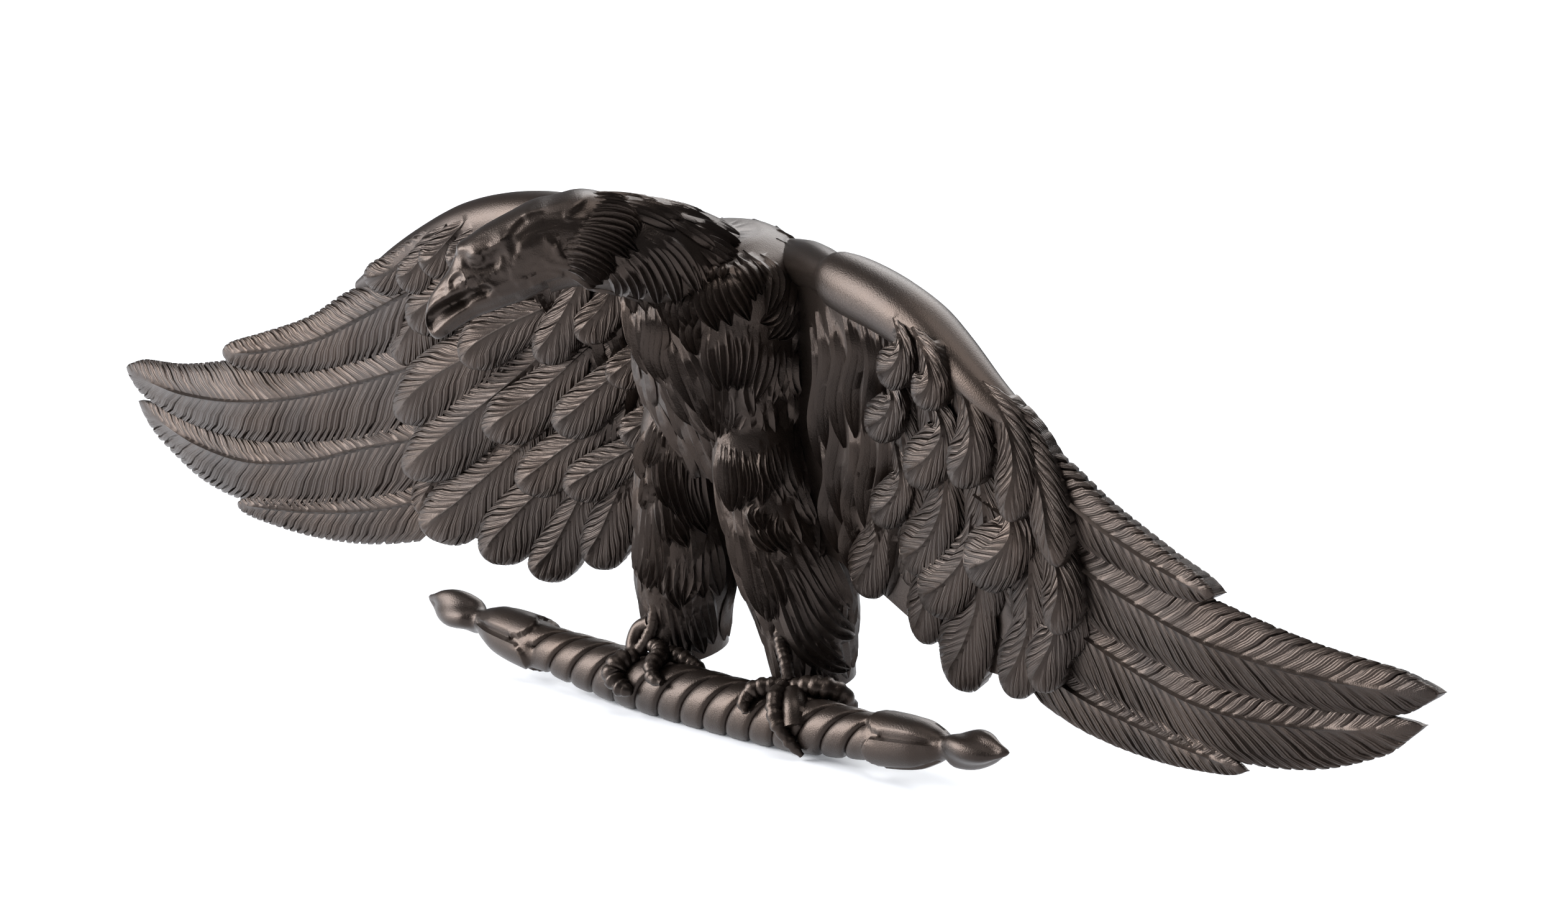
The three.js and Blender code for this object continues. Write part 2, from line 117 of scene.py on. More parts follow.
def bar_skin():
    ends = np.concatenate([np.linspace(50.3, 60, 26), np.linspace(60.8, 89, 34)])
    x = np.concatenate([-ends[::-1], np.linspace(-50, 50, 101), ends])
    turn = np.linspace(0, 2 * np.pi, ribs * 16, endpoint=False)[None]
    out = np.abs(x)[:, None]
    radius = along(bar_outline, np.abs(x))
    twist = 2 * np.pi * np.clip(x, -spiral_half, spiral_half)[:, None] / spiral_lead
    phase = ((turn * ribs / (2 * np.pi)) % 1) ** 0.8
    round_rib = np.clip(1 - (2 * np.abs(phase - 0.5)) ** 3.4, 0, 1) ** 0.5
    spiral = np.clip((52 - out) / 2, 0, 1)
    radius = radius - spiral * rib_depth * (1 - round_rib)
    # calyx: four long leaves whose round ends stand proud of the ribs, with a slit between each two
    side = np.abs(2 * ((turn * 2 / np.pi + 0.3) % 1) - 1)
    start = 51.5 + 6 * (1 - np.sqrt(1 - np.minimum(side / 0.94, 1) ** 2))
    leaf = np.clip((out - start) / 0.5, 0, 1) * np.clip((72 - out) / 3, 0, 1)
    slit = np.clip((side - 0.8) / 0.15, 0, 1) * np.clip((out - 56) / 1.5, 0, 1) * np.clip((70 - out) / 1, 0, 1)
    radius = radius + leaf * 0.9 - slit * 1.0
    # bulb: lobes that twist into a flame
    bulb = np.clip((out - 72) / 2, 0, 1) * np.clip((88.5 - out) / 3, 0, 1)
    radius = radius + bulb * 0.5 * np.cos(3 * turn + (out - 72) * 0.3)
    angle = twist + turn
    centre = bar_radius + bar_bow * (x / bar_half) ** 2 - bar_seat
    y = -radius * np.sin(angle)
    z = centre[:, None] - radius * np.cos(angle)
    cast(np.stack([np.broadcast_to(x[:, None], y.shape), y, np.maximum(z, 0)], -1))


bar_skin()

# The feet: thin ringed shanks, and toes with rings across them that grip the bar. One front claw and
# the two hind claws end half a millimetre above the ground. Rods of metal fill in between toes and bar.
left_foot = [
    ([[19.4, 1.4, 27], [21.6, 0.6, 20.2], [23.8, 0, 16.9], [24.8, 0, 12.6]], 1.5, 1.3),
    ([[18.6, 4, 28], [20.6, 3.6, 20], [23, 3, 11]], 2.2, 0),
    ([[24.6, -0.5, 12.9], [21.8, -2.5, 12.7], [19.2, -4.6, 11.9], [18.2, -6.3, 9.6], [19.4, -6.9, 7.4]], 1.9, 2.0),
    ([[24.8, -1, 13.1], [26.2, -4.9, 12], [28, -6.8, 9.2], [29.9, -7, 6.2], [32, -5.8, 3.2], [33.3, -4.2, 0.9]], 1.8, 2.0),
    ([[25.6, 0, 12.6], [29.4, 1.4, 13.4], [32.8, 3.6, 13], [34.4, 6, 11.4], [33.6, 7.8, 8.6], [31.8, 8, 6.6]], 2.4, 2.2),
    ([[27, -1, 11.4], [30.4, -3.4, 9.6], [32, -4.4, 6.4]], 3.0, 0),
    ([[23, 2, 12], [23.4, 6.8, 11.6], [23.6, 9.8, 6.6], [23.2, 9.4, 0.6]], 2.2, 2.0),
]
right_foot = [
    ([[-17.2, 1.4, 27], [-17.6, 0.8, 20.3], [-18, 0.4, 16.8], [-19.6, -0.8, 13], [-21.4, -1.8, 10.4]], 1.5, 1.3),
    ([[-17, 4, 28], [-17, 3.6, 20], [-17.4, 2.6, 11]], 2.2, 0),
    ([[-20.6, -1.4, 11], [-21.4, -5, 10.2], [-21.4, -6.9, 8], [-18.8, -7.3, 6], [-15.8, -6.8, 5.2]], 2.5, 1.9),
    ([[-18, 0.4, 13.6], [-15, 0, 13.2], [-12.6, -2.2, 12.4], [-11.6, -5, 11.3], [-9.6, -6.5, 9.4], [-6.6, -6.6, 8.8]], 2.0, 1.9),
    ([[-14.4, 1.6, 12.4], [-10.8, 2, 11.8], [-7.6, 2.6, 11], [-5.2, 3.4, 9.8]], 2.1, 2.0),
    ([[-18.6, 0.6, 18], [-21.4, 0, 16.4], [-21.9, -1, 13.6], [-20.8, -1.8, 11.2]], 1.7, 0),
    ([[-19, 2, 12], [-19.4, 6.8, 11.6], [-19.6, 9.8, 6.6], [-19.2, 9.4, 0.6]], 2.2, 2.0),
]


def smooth_line(points, steps):
    """Evenly spaced points on a smooth line through a few, and its length."""
    points = np.asarray(points, float)
    chord = np.r_[0, np.cumsum(np.linalg.norm(np.diff(points, axis=0), axis=1))]
    dense = along(np.c_[chord, points], np.linspace(0, chord[-1], 12 * steps))
    run = np.r_[0, np.cumsum(np.linalg.norm(np.diff(dense, axis=0), axis=1))]
    even = np.linspace(0, run[-1], steps)
    return np.stack([np.interp(even, run, column) for column in dense.T], 1), run[-1]


def rod(points, girth, steps=34, sides=14, ring=0, pitch=1.6, mirror=1, drop=0.0):
    """A round rod along a line; girth holds [share of the length, radius]; ring cuts rings across it."""
    path, length = smooth_line(points, steps)
    tangent = np.gradient(path, axis=0)
    tangent /= np.linalg.norm(tangent, axis=1)[:, None]
    side = np.cross(tangent[0], [0.3, 0.2, 1.0])
    rings = []
    share = np.linspace(0, 1, steps)
    radius = along(girth, share)[:, 0]
    radius = radius * (1 - ring * (0.5 + 0.5 * np.cos(2 * np.pi * share * length / pitch)) ** 3)
    turn = np.linspace(0, 2 * np.pi, sides, endpoint=False)
    for at, t, r in zip(path, tangent, radius):
        side = side - t * (side @ t)
        side /= np.linalg.norm(side)
        other = np.cross(t, side)
        rings.append(at + r * (np.cos(turn)[:, None] * side + np.sin(turn)[:, None] * other))
    rings = np.array(rings) * [mirror, 1, 1] - [0, 0, drop]
    rings[..., 2] = np.maximum(rings[..., 2], 0)
    cast(rings)


for foot in (left_foot, right_foot):
    for points, radius, pitch in foot:
        toe = [[0, 0.8], [0.3, 1], [0.6, 0.95], [0.72, 0.72], [0.8, 0.82], [1, 0.34]] if pitch > 1.5 else [[0, 0.9], [1, 1]]
        rod(points, [[place, radius * share] for place, share in toe], ring=0.2 if pitch else 0, pitch=pitch or 1)

# Body, tail and legs: a deep rounded breast, thighs, and long hanging hind feathers cut square at their
# ends. Curled locks of feathers lie over all of them, grooved between their strands.
body_drop = 0.55
torso = [
    [0, 0, 2, 101, 10, 8],
    [0.12, 0, 2.5, 98, 18, 14.5],
    [0.3, 0, 2.5, 92, 21.5, 17],
    [0.5, 0, 2.5, 83, 20.5, 16.5],
    [0.7, 0, 3.5, 73, 19.5, 14.5],
    [0.85, 0, 5, 64, 18, 12],
    [1, 0, 7, 53, 13, 8],
]
shoulder = [[0, 0, 13, 93, 5, 5], [0.4, 14, 11, 95.5, 5, 5], [0.75, 27, 5, 97.5, 4.6, 4.6], [1, 40, -1, 98, 4, 4]]
leg = [
    [0, 9, 5, 70, 8, 9],
    [0.2, 11, 4, 59, 8.5, 10],
    [0.5, 14.4, 7, 41, 9, 10.9],
    [0.7, 18, 9.7, 29, 8.5, 11.2],
    [0.88, 19.3, 11, 18, 7.2, 9.2],
    [1, 19.5, 12.5, 11, 6, 8.5],
]
tail = [
    [0, 0, 6, 80, 11, 9],
    [0.3, 0, 13, 60, 13, 6.5],
    [0.6, 0, 17, 42, 13, 4.6],
    [0.9, 0, 19.5, 24, 12, 3],
    [1, 0, 20, 18, 9, 2],
]
leftward = np.array([1.0, 0, 0])
upward = np.array([0, 0, 1.0])


def limb_skin(keys, sideways, place, angle):
    """Points on a limb, an oval section along a smooth line, and the way out at each."""
    place, angle = np.broadcast_arrays(np.asarray(place, float), np.asarray(angle, float))
    place = np.clip(place, 0, 1)
    here = along(keys, place)
    run = along(keys, np.minimum(place + 0.01, 1))[..., :3] - along(keys, np.maximum(place - 0.01, 0))[..., :3]
    run /= np.linalg.norm(run, axis=-1, keepdims=True)
    across = sideways - run * (run @ sideways)[..., None]
    across /= np.linalg.norm(across, axis=-1, keepdims=True)
    over = np.cross(run, across)
    wide, deep = here[..., 3:4], here[..., 4:5]
    c, s = np.cos(angle)[..., None], np.sin(angle)[..., None]
    out = across * c / wide + over * s / deep
    return here[..., :3] + across * wide * c + over * deep * s, out / np.linalg.norm(out, axis=-1, keepdims=True)


def on_limb(keys, sideways):
    """The skin of a limb as (angle in degrees, place down it)."""
    return lambda angle, place: limb_skin(keys, sideways, place, np.radians(angle))


def limb(keys, sideways, steps=40, sides=36, mirror=1, last=1.0):
    place = np.linspace(0, last, steps)[:, None]
    angle = np.linspace(0, 2 * np.pi, sides, endpoint=False)[None]
    rings = limb_skin(keys, sideways, place, angle)[0]
    cast(rings * [mirror, 1, 1] - [0, 0, body_drop])


def lock(skin, points, wide, high, mirror=1, strands=3, sink=1.3, pitch=1.5):
    """A lock of feathers that lies on a skin along a few points of it: narrow root, full middle, hooked
    tip, with deep grooves between its strands."""
    path = [[i / (len(points) - 1), *point] for i, point in enumerate(points)]
    rough = skin(*along(path, np.linspace(0, 1, 12)).T)[0]
    length = np.linalg.norm(np.diff(rough, axis=0), axis=1).sum()
    rows = int(np.clip(round(length / pitch), 7, 22))
    s = np.linspace(0, 1, rows)
    middle, out = skin(*along(path, s).T)
    run = np.gradient(middle, axis=0)
    run /= np.linalg.norm(run, axis=1)[:, None]
    across = np.cross(out, run)
    girth = along([[0, 0.45], [0.3, 0.95], [0.6, 1], [0.85, 0.62], [1, 0.08]], s)
    rise = along([[0, -0.2], [0.25, 0.65], [0.65, 1.05], [0.88, 1.0], [1, 0.4]], s)
    e = np.linspace(-1, 1, 2 * strands + 1)
    crest = np.where(np.arange(len(e)) % 2 == 1, 1.0, 0.3)
    shape = np.sqrt(np.clip(1 - (0.93 * e) ** 2, 0, 1)) * crest
    offset = wide / 2 * girth * e[None]
    front = middle[:, None] + across[:, None] * offset[..., None] + out[:, None] * (high * rise * shape[None])[..., None]
    back = middle[:, None] + across[:, None] * (wide / 2 * girth * [[0.85, -0.85]])[..., None] - out[:, None] * sink
    rings = np.concatenate([front, back], 1) * [mirror, 1, 1] - [0, 0, body_drop]
    cast(rings)


def cover(skin, rows, columns, first, last, facing, spread, drop, slant, wide, high, mirror=1, seed=1):
    """Staggered rows of locks over the plainer parts of a limb, each a little different."""
    chance = np.random.default_rng(seed)
    for i in range(rows):
        for j in range(columns):
            across = (j + (i % 2) / 2 + 0.25) / columns - 0.5 + chance.uniform(-0.02, 0.02)
            place = first + (last - first) * (i + chance.uniform(-0.25, 0.25)) / max(rows - 1, 1)
            angle = facing + across * spread
            turn = slant * across * 2 + chance.uniform(-9, 9)
            bow = chance.uniform(-7, 7)
            fall = drop * chance.uniform(0.8, 1.15)
            lock(skin, [(angle, place), (angle + turn * 0.3 + bow, place + fall / 2), (angle + turn, place + fall)],
                 wide * chance.uniform(0.85, 1.15), high * chance.uniform(0.8, 1.1), mirror, strands=2, pitch=2.2)


# breast, from the throat down: (angle from the bird's left side over the front, place down the torso)
torso_locks = [
    ([(40, 0.02), (43, 0.12), (44, 0.22)], 5, 1.0), ([(50, 0.04), (52, 0.14), (50, 0.24)], 5, 1.0),
    ([(60, 0.06), (60, 0.18), (56, 0.30)], 5, 1.1), ([(68, 0.04), (66, 0.18), (62, 0.32)], 5, 1.2),
    ([(30, 0.04), (28, 0.16), (20, 0.30)], 5, 1.2), ([(36, 0.12), (31, 0.22), (24, 0.33)], 4.5, 1.5),
    ([(42, 0.20), (36, 0.31), (27, 0.42)], 5, 1.7), ([(50, 0.20), (47, 0.32), (38, 0.44)], 5, 1.5),
    ([(58, 0.24), (54, 0.36), (46, 0.46)], 5, 1.5), ([(20, 0.04), (18, 0.16), (12, 0.28)], 4.5, 1.2),
    ([(10, 0.08), (8, 0.22), (16, 0.40)], 5, 1.3), ([(-4, 0.34), (4, 0.44), (14, 0.50)], 4.5, 1.3),
    ([(-12, 0.37), (-5, 0.46), (6, 0.51)], 4.5, 1.2), ([(4, 0.34), (10, 0.41), (20, 0.43)], 4, 1.2),
    ([(24, 0.44), (28, 0.56), (34, 0.70)], 5, 1.3), ([(34, 0.42), (32, 0.56), (38, 0.69)], 5, 1.3),
    ([(42, 0.42), (40, 0.56), (44, 0.69)], 5, 1.4), ([(50, 0.44), (52, 0.57), (47, 0.70)], 5, 1.4),
    ([(60, 0.40), (64, 0.47), (60, 0.55)], 5, 1.6), ([(70, 0.30), (73, 0.40), (68, 0.50)], 5, 1.5),
    ([(64, 0.30), (66, 0.38), (60, 0.46)], 5, 1.4), ([(80, 0.22), (80, 0.34), (76, 0.46)], 5, 1.5),
    ([(88, 0.16), (90, 0.28), (86, 0.40)], 5, 1.5), ([(98, 0.18), (98, 0.30), (94, 0.42)], 5, 1.4),
    ([(72, 0.52), (64, 0.66), (61, 0.84)], 6, 1.7), ([(56, 0.56), (52, 0.68), (58, 0.86)], 5, 1.4),
    ([(80, 0.50), (76, 0.62), (66, 0.78)], 5, 1.5), ([(46, 0.66), (50, 0.76), (58, 0.88)], 5, 1.2),
    ([(88, 0.38), (84, 0.48), (88, 0.58), (84, 0.68)], 5, 1.6), ([(96, 0.38), (92, 0.48), (96, 0.58), (90, 0.69)], 5, 1.6),
    ([(104, 0.42), (102, 0.52), (98, 0.62)], 5, 1.4), ([(112, 0.44), (110, 0.54), (104, 0.66)], 5, 1.4),
    ([(14, 0.52), (18, 0.62), (28, 0.74)], 5, 1.2), ([(-18, 0.56), (-9, 0.62), (-8, 0.70), (-14, 0.77)], 5, 1.7),
    ([(-28, 0.66), (-19, 0.72), (-24, 0.80)], 5, 1.5), ([(0, 0.54), (4, 0.66), (14, 0.76)], 5, 1.3),
    ([(34, 0.74), (44, 0.80), (56, 0.88)], 5, 1.0), ([(74, 0.72), (70, 0.80), (60, 0.88)], 5, 1.1),
    ([(-30, 0.30), (-24, 0.42), (-18, 0.52)], 5, 1.2), ([(120, 0.36), (118, 0.48), (112, 0.60)], 5, 1.4),
    ([(110, 0.22), (110, 0.34), (106, 0.44)], 5, 1.4), ([(90, 0.62), (84, 0.72), (76, 0.82)], 5, 1.3),
]
left_leg_locks = [
    ([(88, 0.17), (96, 0.26), (88, 0.36)], 4.5, 1.2), ([(80, 0.17), (84, 0.27), (84, 0.36)], 4.5, 1.4),
    ([(72, 0.18), (72, 0.28), (80, 0.36)], 4.5, 1.7), ([(62, 0.19), (62, 0.28), (72, 0.36)], 4.5, 1.6),
    ([(50, 0.20), (50, 0.28), (58, 0.34)], 4.5, 1.4), ([(40, 0.19), (38, 0.28), (44, 0.36)], 4.5, 1.3),
    ([(28, 0.19), (32, 0.26), (27, 0.33)], 4, 1.4), ([(20, 0.18), (22, 0.26), (17, 0.33)], 4, 1.4),
    ([(4, 0.20), (10, 0.30), (4, 0.37)], 4.5, 1.4), ([(-6, 0.30), (-4, 0.40), (-9, 0.48)], 4.5, 1.3),
    ([(42, 0.35), (54, 0.38), (50, 0.44)], 4.5, 1.6), ([(26, 0.38), (38, 0.45), (28, 0.54)], 4.5, 1.6),
    ([(36, 0.38), (46, 0.44), (38, 0.52)], 4.5, 1.5), ([(60, 0.40), (55, 0.46), (42, 0.52)], 4.5, 1.5),
    ([(84, 0.36), (80, 0.48), (85, 0.60), (84, 0.72)], 5, 1.5), ([(74, 0.38), (70, 0.52), (74, 0.66), (80, 0.74)], 5, 1.5),
    ([(90, 0.38), (97, 0.47), (98, 0.57)], 5, 1.6), ([(64, 0.48), (64, 0.60), (68, 0.74)], 5, 1.3),
    ([(58, 0.50), (54, 0.60), (56, 0.70)], 5, 1.3), ([(14, 0.46), (8, 0.58), (4, 0.68), (-10, 0.76)], 6, 1.4),
    ([(50, 0.50), (46, 0.62), (45, 0.74), (36, 0.83), (12, 0.90), (-20, 0.95)], 6.5, 1.8),
    ([(32, 0.52), (24, 0.62), (18, 0.72), (2, 0.79), (-16, 0.82), (-30, 0.845)], 6.5, 1.9),
    ([(40, 0.52), (34, 0.66), (30, 0.78), (12, 0.86), (-8, 0.90)], 6, 1.4),
    ([(-4, 0.50), (-8, 0.60), (-14, 0.70), (-26, 0.76)], 6, 1.4), ([(-36, 0.40), (-22, 0.47), (-12, 0.55), (2, 0.60)], 5, 1.6),
    ([(-50, 0.44), (-34, 0.54), (-24, 0.64)], 5, 1.4), ([(30, 0.86), (20, 0.93), (4, 0.99)], 5, 1.2),
    ([(104, 0.22), (106, 0.34), (104, 0.46)], 5, 1.3), ([(110, 0.40), (112, 0.54), (108, 0.66)], 5, 1.3),
]
right_leg_locks = [
    ([(100, 0.15), (97, 0.22), (90, 0.29)], 4.5, 1.4), ([(108, 0.16), (103, 0.22), (97, 0.28)], 4, 1.4),
    ([(116, 0.17), (111, 0.26), (116, 0.34), (124, 0.40)], 4.5, 1.6), ([(125, 0.17), (120, 0.27), (126, 0.36), (135, 0.43)], 4.5, 1.6),
    ([(134, 0.18), (130, 0.29), (137, 0.40), (148, 0.48)], 4.5, 1.6), ([(146, 0.22), (142, 0.33), (150, 0.42), (165, 0.50)], 5, 1.5),
    ([(158, 0.24), (156, 0.36), (166, 0.48)], 5, 1.3), ([(82, 0.19), (75, 0.26), (80, 0.33)], 4.5, 1.6),
    ([(84, 0.30), (91, 0.36), (84, 0.43)], 4.5, 1.5), ([(92, 0.32), (94, 0.46), (92, 0.58), (86, 0.70)], 5, 1.4),
    ([(104, 0.34), (105, 0.48), (110, 0.58), (112, 0.70)], 5, 1.4), ([(112, 0.33), (117, 0.43), (122, 0.53)], 5, 1.5),
    ([(122, 0.38), (130, 0.46), (144, 0.53)], 5, 1.7), ([(100, 0.48), (102, 0.60), (98, 0.72)], 5, 1.3),
    ([(118, 0.54), (122, 0.64), (120, 0.74)], 5, 1.3), ([(134, 0.52), (130, 0.62), (133, 0.72), (140, 0.80)], 5.5, 1.5),
    ([(148, 0.54), (150, 0.66), (142, 0.78)], 5.5, 1.6), ([(160, 0.52), (158, 0.63), (166, 0.76)], 5.5, 1.4),
    ([(172, 0.50), (178, 0.62), (188, 0.77)], 5.5, 1.4), ([(150, 0.78), (156, 0.88), (166, 0.98)], 5.5, 1.3),
    ([(134, 0.78), (136, 0.88), (140, 0.98)], 5.5, 1.2), ([(166, 0.72), (172, 0.84), (182, 0.96)], 5.5, 1.3),
    ([(120, 0.72), (124, 0.84), (126, 0.96)], 5, 1.1), ([(60, 0.30), (64, 0.42), (62, 0.54)], 5, 1.3),
    ([(72, 0.44), (74, 0.56), (70, 0.68)], 5, 1.3),
]

limb(torso, leftward)
limb(tail, leftward, 30, 30)
breast, rump, thigh = on_limb(torso, leftward), on_limb(tail, leftward), on_limb(leg, leftward)
cover(breast, 4, 9, 0.6, 0.86, 70, 170, 0.2, 10, 4.5, 1.1, seed=2)
cover(breast, 7, 9, 0.06, 0.6, 245, 200, 0.24, 10, 5, 0.9, seed=3)
cover(rump, 6, 6, 0.2, 0.72, 270, 150, 0.26, 5, 5, 0.7, seed=4)
for points, wide, high in torso_locks:
    lock(breast, points, wide, high)
for side, locks in ((1, left_leg_locks), (-1, right_leg_locks)):
    limb(shoulder, upward, 20, 20, side)
    limb(leg, leftward, 40, 30, side)
    cover(thigh, 7, 8, 0.1, 0.74, 255 if side > 0 else 300, 180, 0.24, 8, 4.6, 0.9, side, seed=5 + side)
    cover(thigh, 5, 6, 0.2, 0.74, 70, 150, 0.24, 14, 4.6, 0.9, side, seed=8 + side)
    for points, wide, high in locks:
        lock(thigh, points, wide, high, side)

# The wings: a thin curved sheet with a rolled front edge, four long flight feathers and rows of covert
# feathers laid on it. Each feather is a raised blade: shaft, sloping vanes cut into barbs, swollen tip.
wing_sheet = [
    [6, 9, 93, 10, 44], [20, 5, 96, 9.5, 38], [36, -2, 98, 9, 34], [55, -6, 97, 8, 27], [70, -9, 94, 6, 23],
    [86, -8, 87, 3, 23], [105, -5, 76, 0, 21], [125, -4, 66, -0.5, 19], [150, -4, 55, -1, 22], [200, 6, 44, 6, 34],
]
wing_arm = [
    [0, 36.5, -1, 98, 3.5], [0.12, 42, -1.5, 97.6, 5.8], [0.35, 57, -3, 95.6, 6.3], [0.55, 70, -4, 92, 6.2],
    [0.72, 80, -5, 87.8, 5.4], [0.88, 92, -6, 82, 3.8], [1, 105, -5, 76, 1.2],
]


def sheet_front(x, z):
    """How far forward the front of the wing sheet stands at x and z."""
    top_y, top_z, low_y, low_z = np.moveaxis(along(wing_sheet, x), -1, 0)
    return top_y + (low_y - top_y) * np.clip((top_z - z) / (top_z - low_z), -0.2, 1.2)


def sheet(mirror):
    x = np.linspace(6, 90, 42)
    share = np.linspace(0, 1, 28)[None]
    _, top_z, _, low_z = np.moveaxis(along(wing_sheet, x), -1, 0)[..., None]
    z = (top_z - 2.5) + (low_z - top_z + 5) * share
    xs = np.broadcast_to(x[:, None], z.shape)
    front = sheet_front(xs, z)
    thick = 5 - 3.4 * ((x - 6) / 110)[:, None]
    rings = np.concatenate([
        np.stack([xs, front, z], -1),
        np.stack([xs, front + thick, z], -1)[:, ::-1],
    ], 1)
    cast(rings * [mirror, 1, 1] - [0, 0, body_drop])


def arm(mirror):
    place = np.linspace(0, 1, 44)
    x, y, z, radius = along(wing_arm, place).T[..., None]
    radius = radius * np.sqrt(np.clip(1 - (1 - np.minimum(place[:, None] / 0.06, 1)) ** 2, 0.03, 1))
    turn = np.linspace(0, 2 * np.pi, 22, endpoint=False)[None]
    rings = np.stack([x + 0 * turn, y + radius * np.cos(turn), z + radius * np.sin(turn)], -1)
    cast(rings * [mirror, 1, 1] - [0, 0, body_drop])


# Across one barb of a vane: [share of the way to the next barb, height], a sharp groove and a round back
barb_rows = [[0, -1.0], [0.2, 0.0], [0.48, 0.38], [0.78, 0.12]]
vane_columns = np.array([-1, -0.93, -0.7, -0.38, 0, 0, 0, 0.38, 0.7, 0.93, 1])
shaft_half = 0.45


def feather(table, mirror, front, barb, cut, back=2, swell=0.0, sweep=(1.2, 1.3), ragged=0.4, calm=0.05,
            round_tip=0.25, shaft=0.4, behind=1.3, seed=1):
    """One feather. table holds [place, x, z, vane above, vane below] along the shaft, front the height
    [place, mm] of the shaft over the sheet. barb is the distance between barbs and cut their depth; sweep
    is how far barbs run on towards the tip above and below the shaft, ragged how deep they cut the edge."""
    chance = np.random.default_rng(seed)
    table = np.asarray(table, float)
    length = np.linalg.norm(np.diff(along(table, np.linspace(0, 1, 60))[:, :2], axis=0), axis=1).sum()
    count = max(int(round(length / barb)), 3)
    cap = 0.35 * barb / length
    place, height = [], []
    for i in range(count):
        depth = chance.uniform(0.5, 1.3)
        shift = chance.uniform(-0.1, 0.1)
        for phase, rise in barb_rows:
            place.append((i + phase + (shift if phase else 0)) * (1 - cap) / count)
            height.append(rise * depth)
    place = np.array(place + [1 - cap, 1 - 0.5 * cap, 1 - 0.15 * cap, 1])
    height = np.array(height + [-0.3, 0, 0, 0])[:, None] * cut
    size = np.abs(vane_columns)[None]
    below = vane_columns < 0
    below[4] = True
    centre = np.arange(11) == 5
    forward = np.interp(size, [0, 0.38, 0.7, 0.93, 1], [0, 0.42, 0.66, 0.97, 1.12])
    lean = np.where(below, sweep[1], sweep[0]) * forward / length
    at = np.broadcast_to(place[:, None], (len(place), 11))
    for _ in range(4):
        wide = np.where(below, along(table, at)[..., 3], along(table, at)[..., 2])
        room = np.clip((1 - place[:, None]) / np.maximum(wide * lean * 1.3, 1e-6), 0, 1)
        at = np.clip(place[:, None] + wide * lean * room, 0, 1)
    x, z, up, down = np.moveaxis(along(table, at), -1, 0)
    run = along(table, np.clip(at + 0.02, 0, 1))[..., :2] - along(table, np.clip(at - 0.02, 0, 1))[..., :2]
    run /= np.linalg.norm(run, axis=-1, keepdims=True)
    left = np.clip((1 - at) / round_tip, 0, 1)
    wide = np.where(below, down, up) * np.sqrt(np.clip(1 - (1 - left) ** 2, 0, 1))
    quiet = np.clip((1 - at) / calm, 0, 1)
    off = np.minimum(shaft_half, 0.4 * wide) + np.maximum(wide - shaft_half, 0) * size
    off = off * (1 + ragged * 0.12 * np.minimum(height, 0) / cut * (size > 0.9) * quiet)
    off = np.where(centre, 0, np.where(below, -off, off))
    px, pz = x - run[..., 1] * off, z + run[..., 0] * off
    bite = np.interp(size, [0, 0.38, 0.7, 0.93, 1], [0.1, 0.75, 1, 0.5 + 0.5 * ragged, 0.2 + 0.8 * ragged])
    over = np.minimum(wide / 5, 1.3)
    rise = along(front, at)[..., 0] - (0.35 + 0.5 * size**1.5) * size * over - 0.45 * (size > 0.97)
    rise = rise + swell * np.exp(-(((at - 0.87) / 0.13) ** 2)) * (1 - 0.8 * size**2)
    rise = rise + height * bite * quiet * ~centre
    spine = np.clip((0.96 - at) / 0.15, 0, 1)
    rise = rise + spine * shaft * np.where(centre, 1, -0.55 * (size == 0))
    rise = rise - 0.7 * (1 - np.clip((1 - at) / 0.035, 0, 1)) ** 2
    fronts = np.stack([px, sheet_front(px, pz) - rise, pz], -1)
    # the back runs from edge to edge behind the front, its corners under the slanting rows
    share = np.linspace(0.9, -0.9, back)[None, :, None]
    edge_up, edge_down, mid = fronts[:, 10:11], fronts[:, 0:1], np.stack([x, z * 0, z], -1)[:, 5:6]
    backs = np.where(share > 0, mid + (edge_up - mid) * share, mid + (edge_down - mid) * -share)
    backs[..., 1] = sheet_front(backs[..., 0], backs[..., 2]) + behind
    lines = np.zeros(fronts.shape[:2] + (2,))
    lines[..., 0] = place[:, None] * length
    lines[..., 1] = np.interp(size, [0, 0.1, 0.4, 1], [0, 0.3, 1, 1]) * quiet
    rings = np.concatenate([fronts, backs], 1) * [mirror, 1, 1] - [0, 0, body_drop]
    cast(rings, np.concatenate([lines, np.zeros(backs.shape[:2] + (2,))], 1))


flight = [
    (2.0, [[0, 84, 78, 3.5, 9], [0.25, 104, 69, 6.6, 8.5], [0.5, 120, 62, 5.4, 6.6], [0.75, 136, 57.5, 4, 5],
           [0.93, 147, 55.3, 2.6, 3], [1, 151.5, 54.6, 1.2, 1.2]]),
    (1.2, [[0, 84, 62.5, 8, 11], [0.2, 108, 54.5, 9, 12], [0.4, 128, 48.5, 9, 10], [0.6, 148, 44.5, 9, 8.5],
           [0.8, 172, 42, 6.5, 6.8], [0.94, 191, 42, 4.2, 4.6], [1, 199.6, 42.8, 2, 2]]),
    (0.4, [[0, 84, 47, 6, 10], [0.2, 108, 40.5, 6, 11], [0.4, 126, 35, 6, 10], [0.6, 146, 31.5, 5, 9.5],
           [0.8, 168, 31.5, 5, 8.5], [0.94, 186, 33.8, 3.4, 5], [1, 195.6, 36, 1.6, 1.8]]),
    (-0.4, [[0, 84, 34, 5, 9], [0.3, 108, 27, 5, 7.5], [0.6, 128, 23.5, 4, 6], [0.88, 147, 21.5, 2.4, 3],
            [1, 154.6, 20.5, 1, 1]]),
]


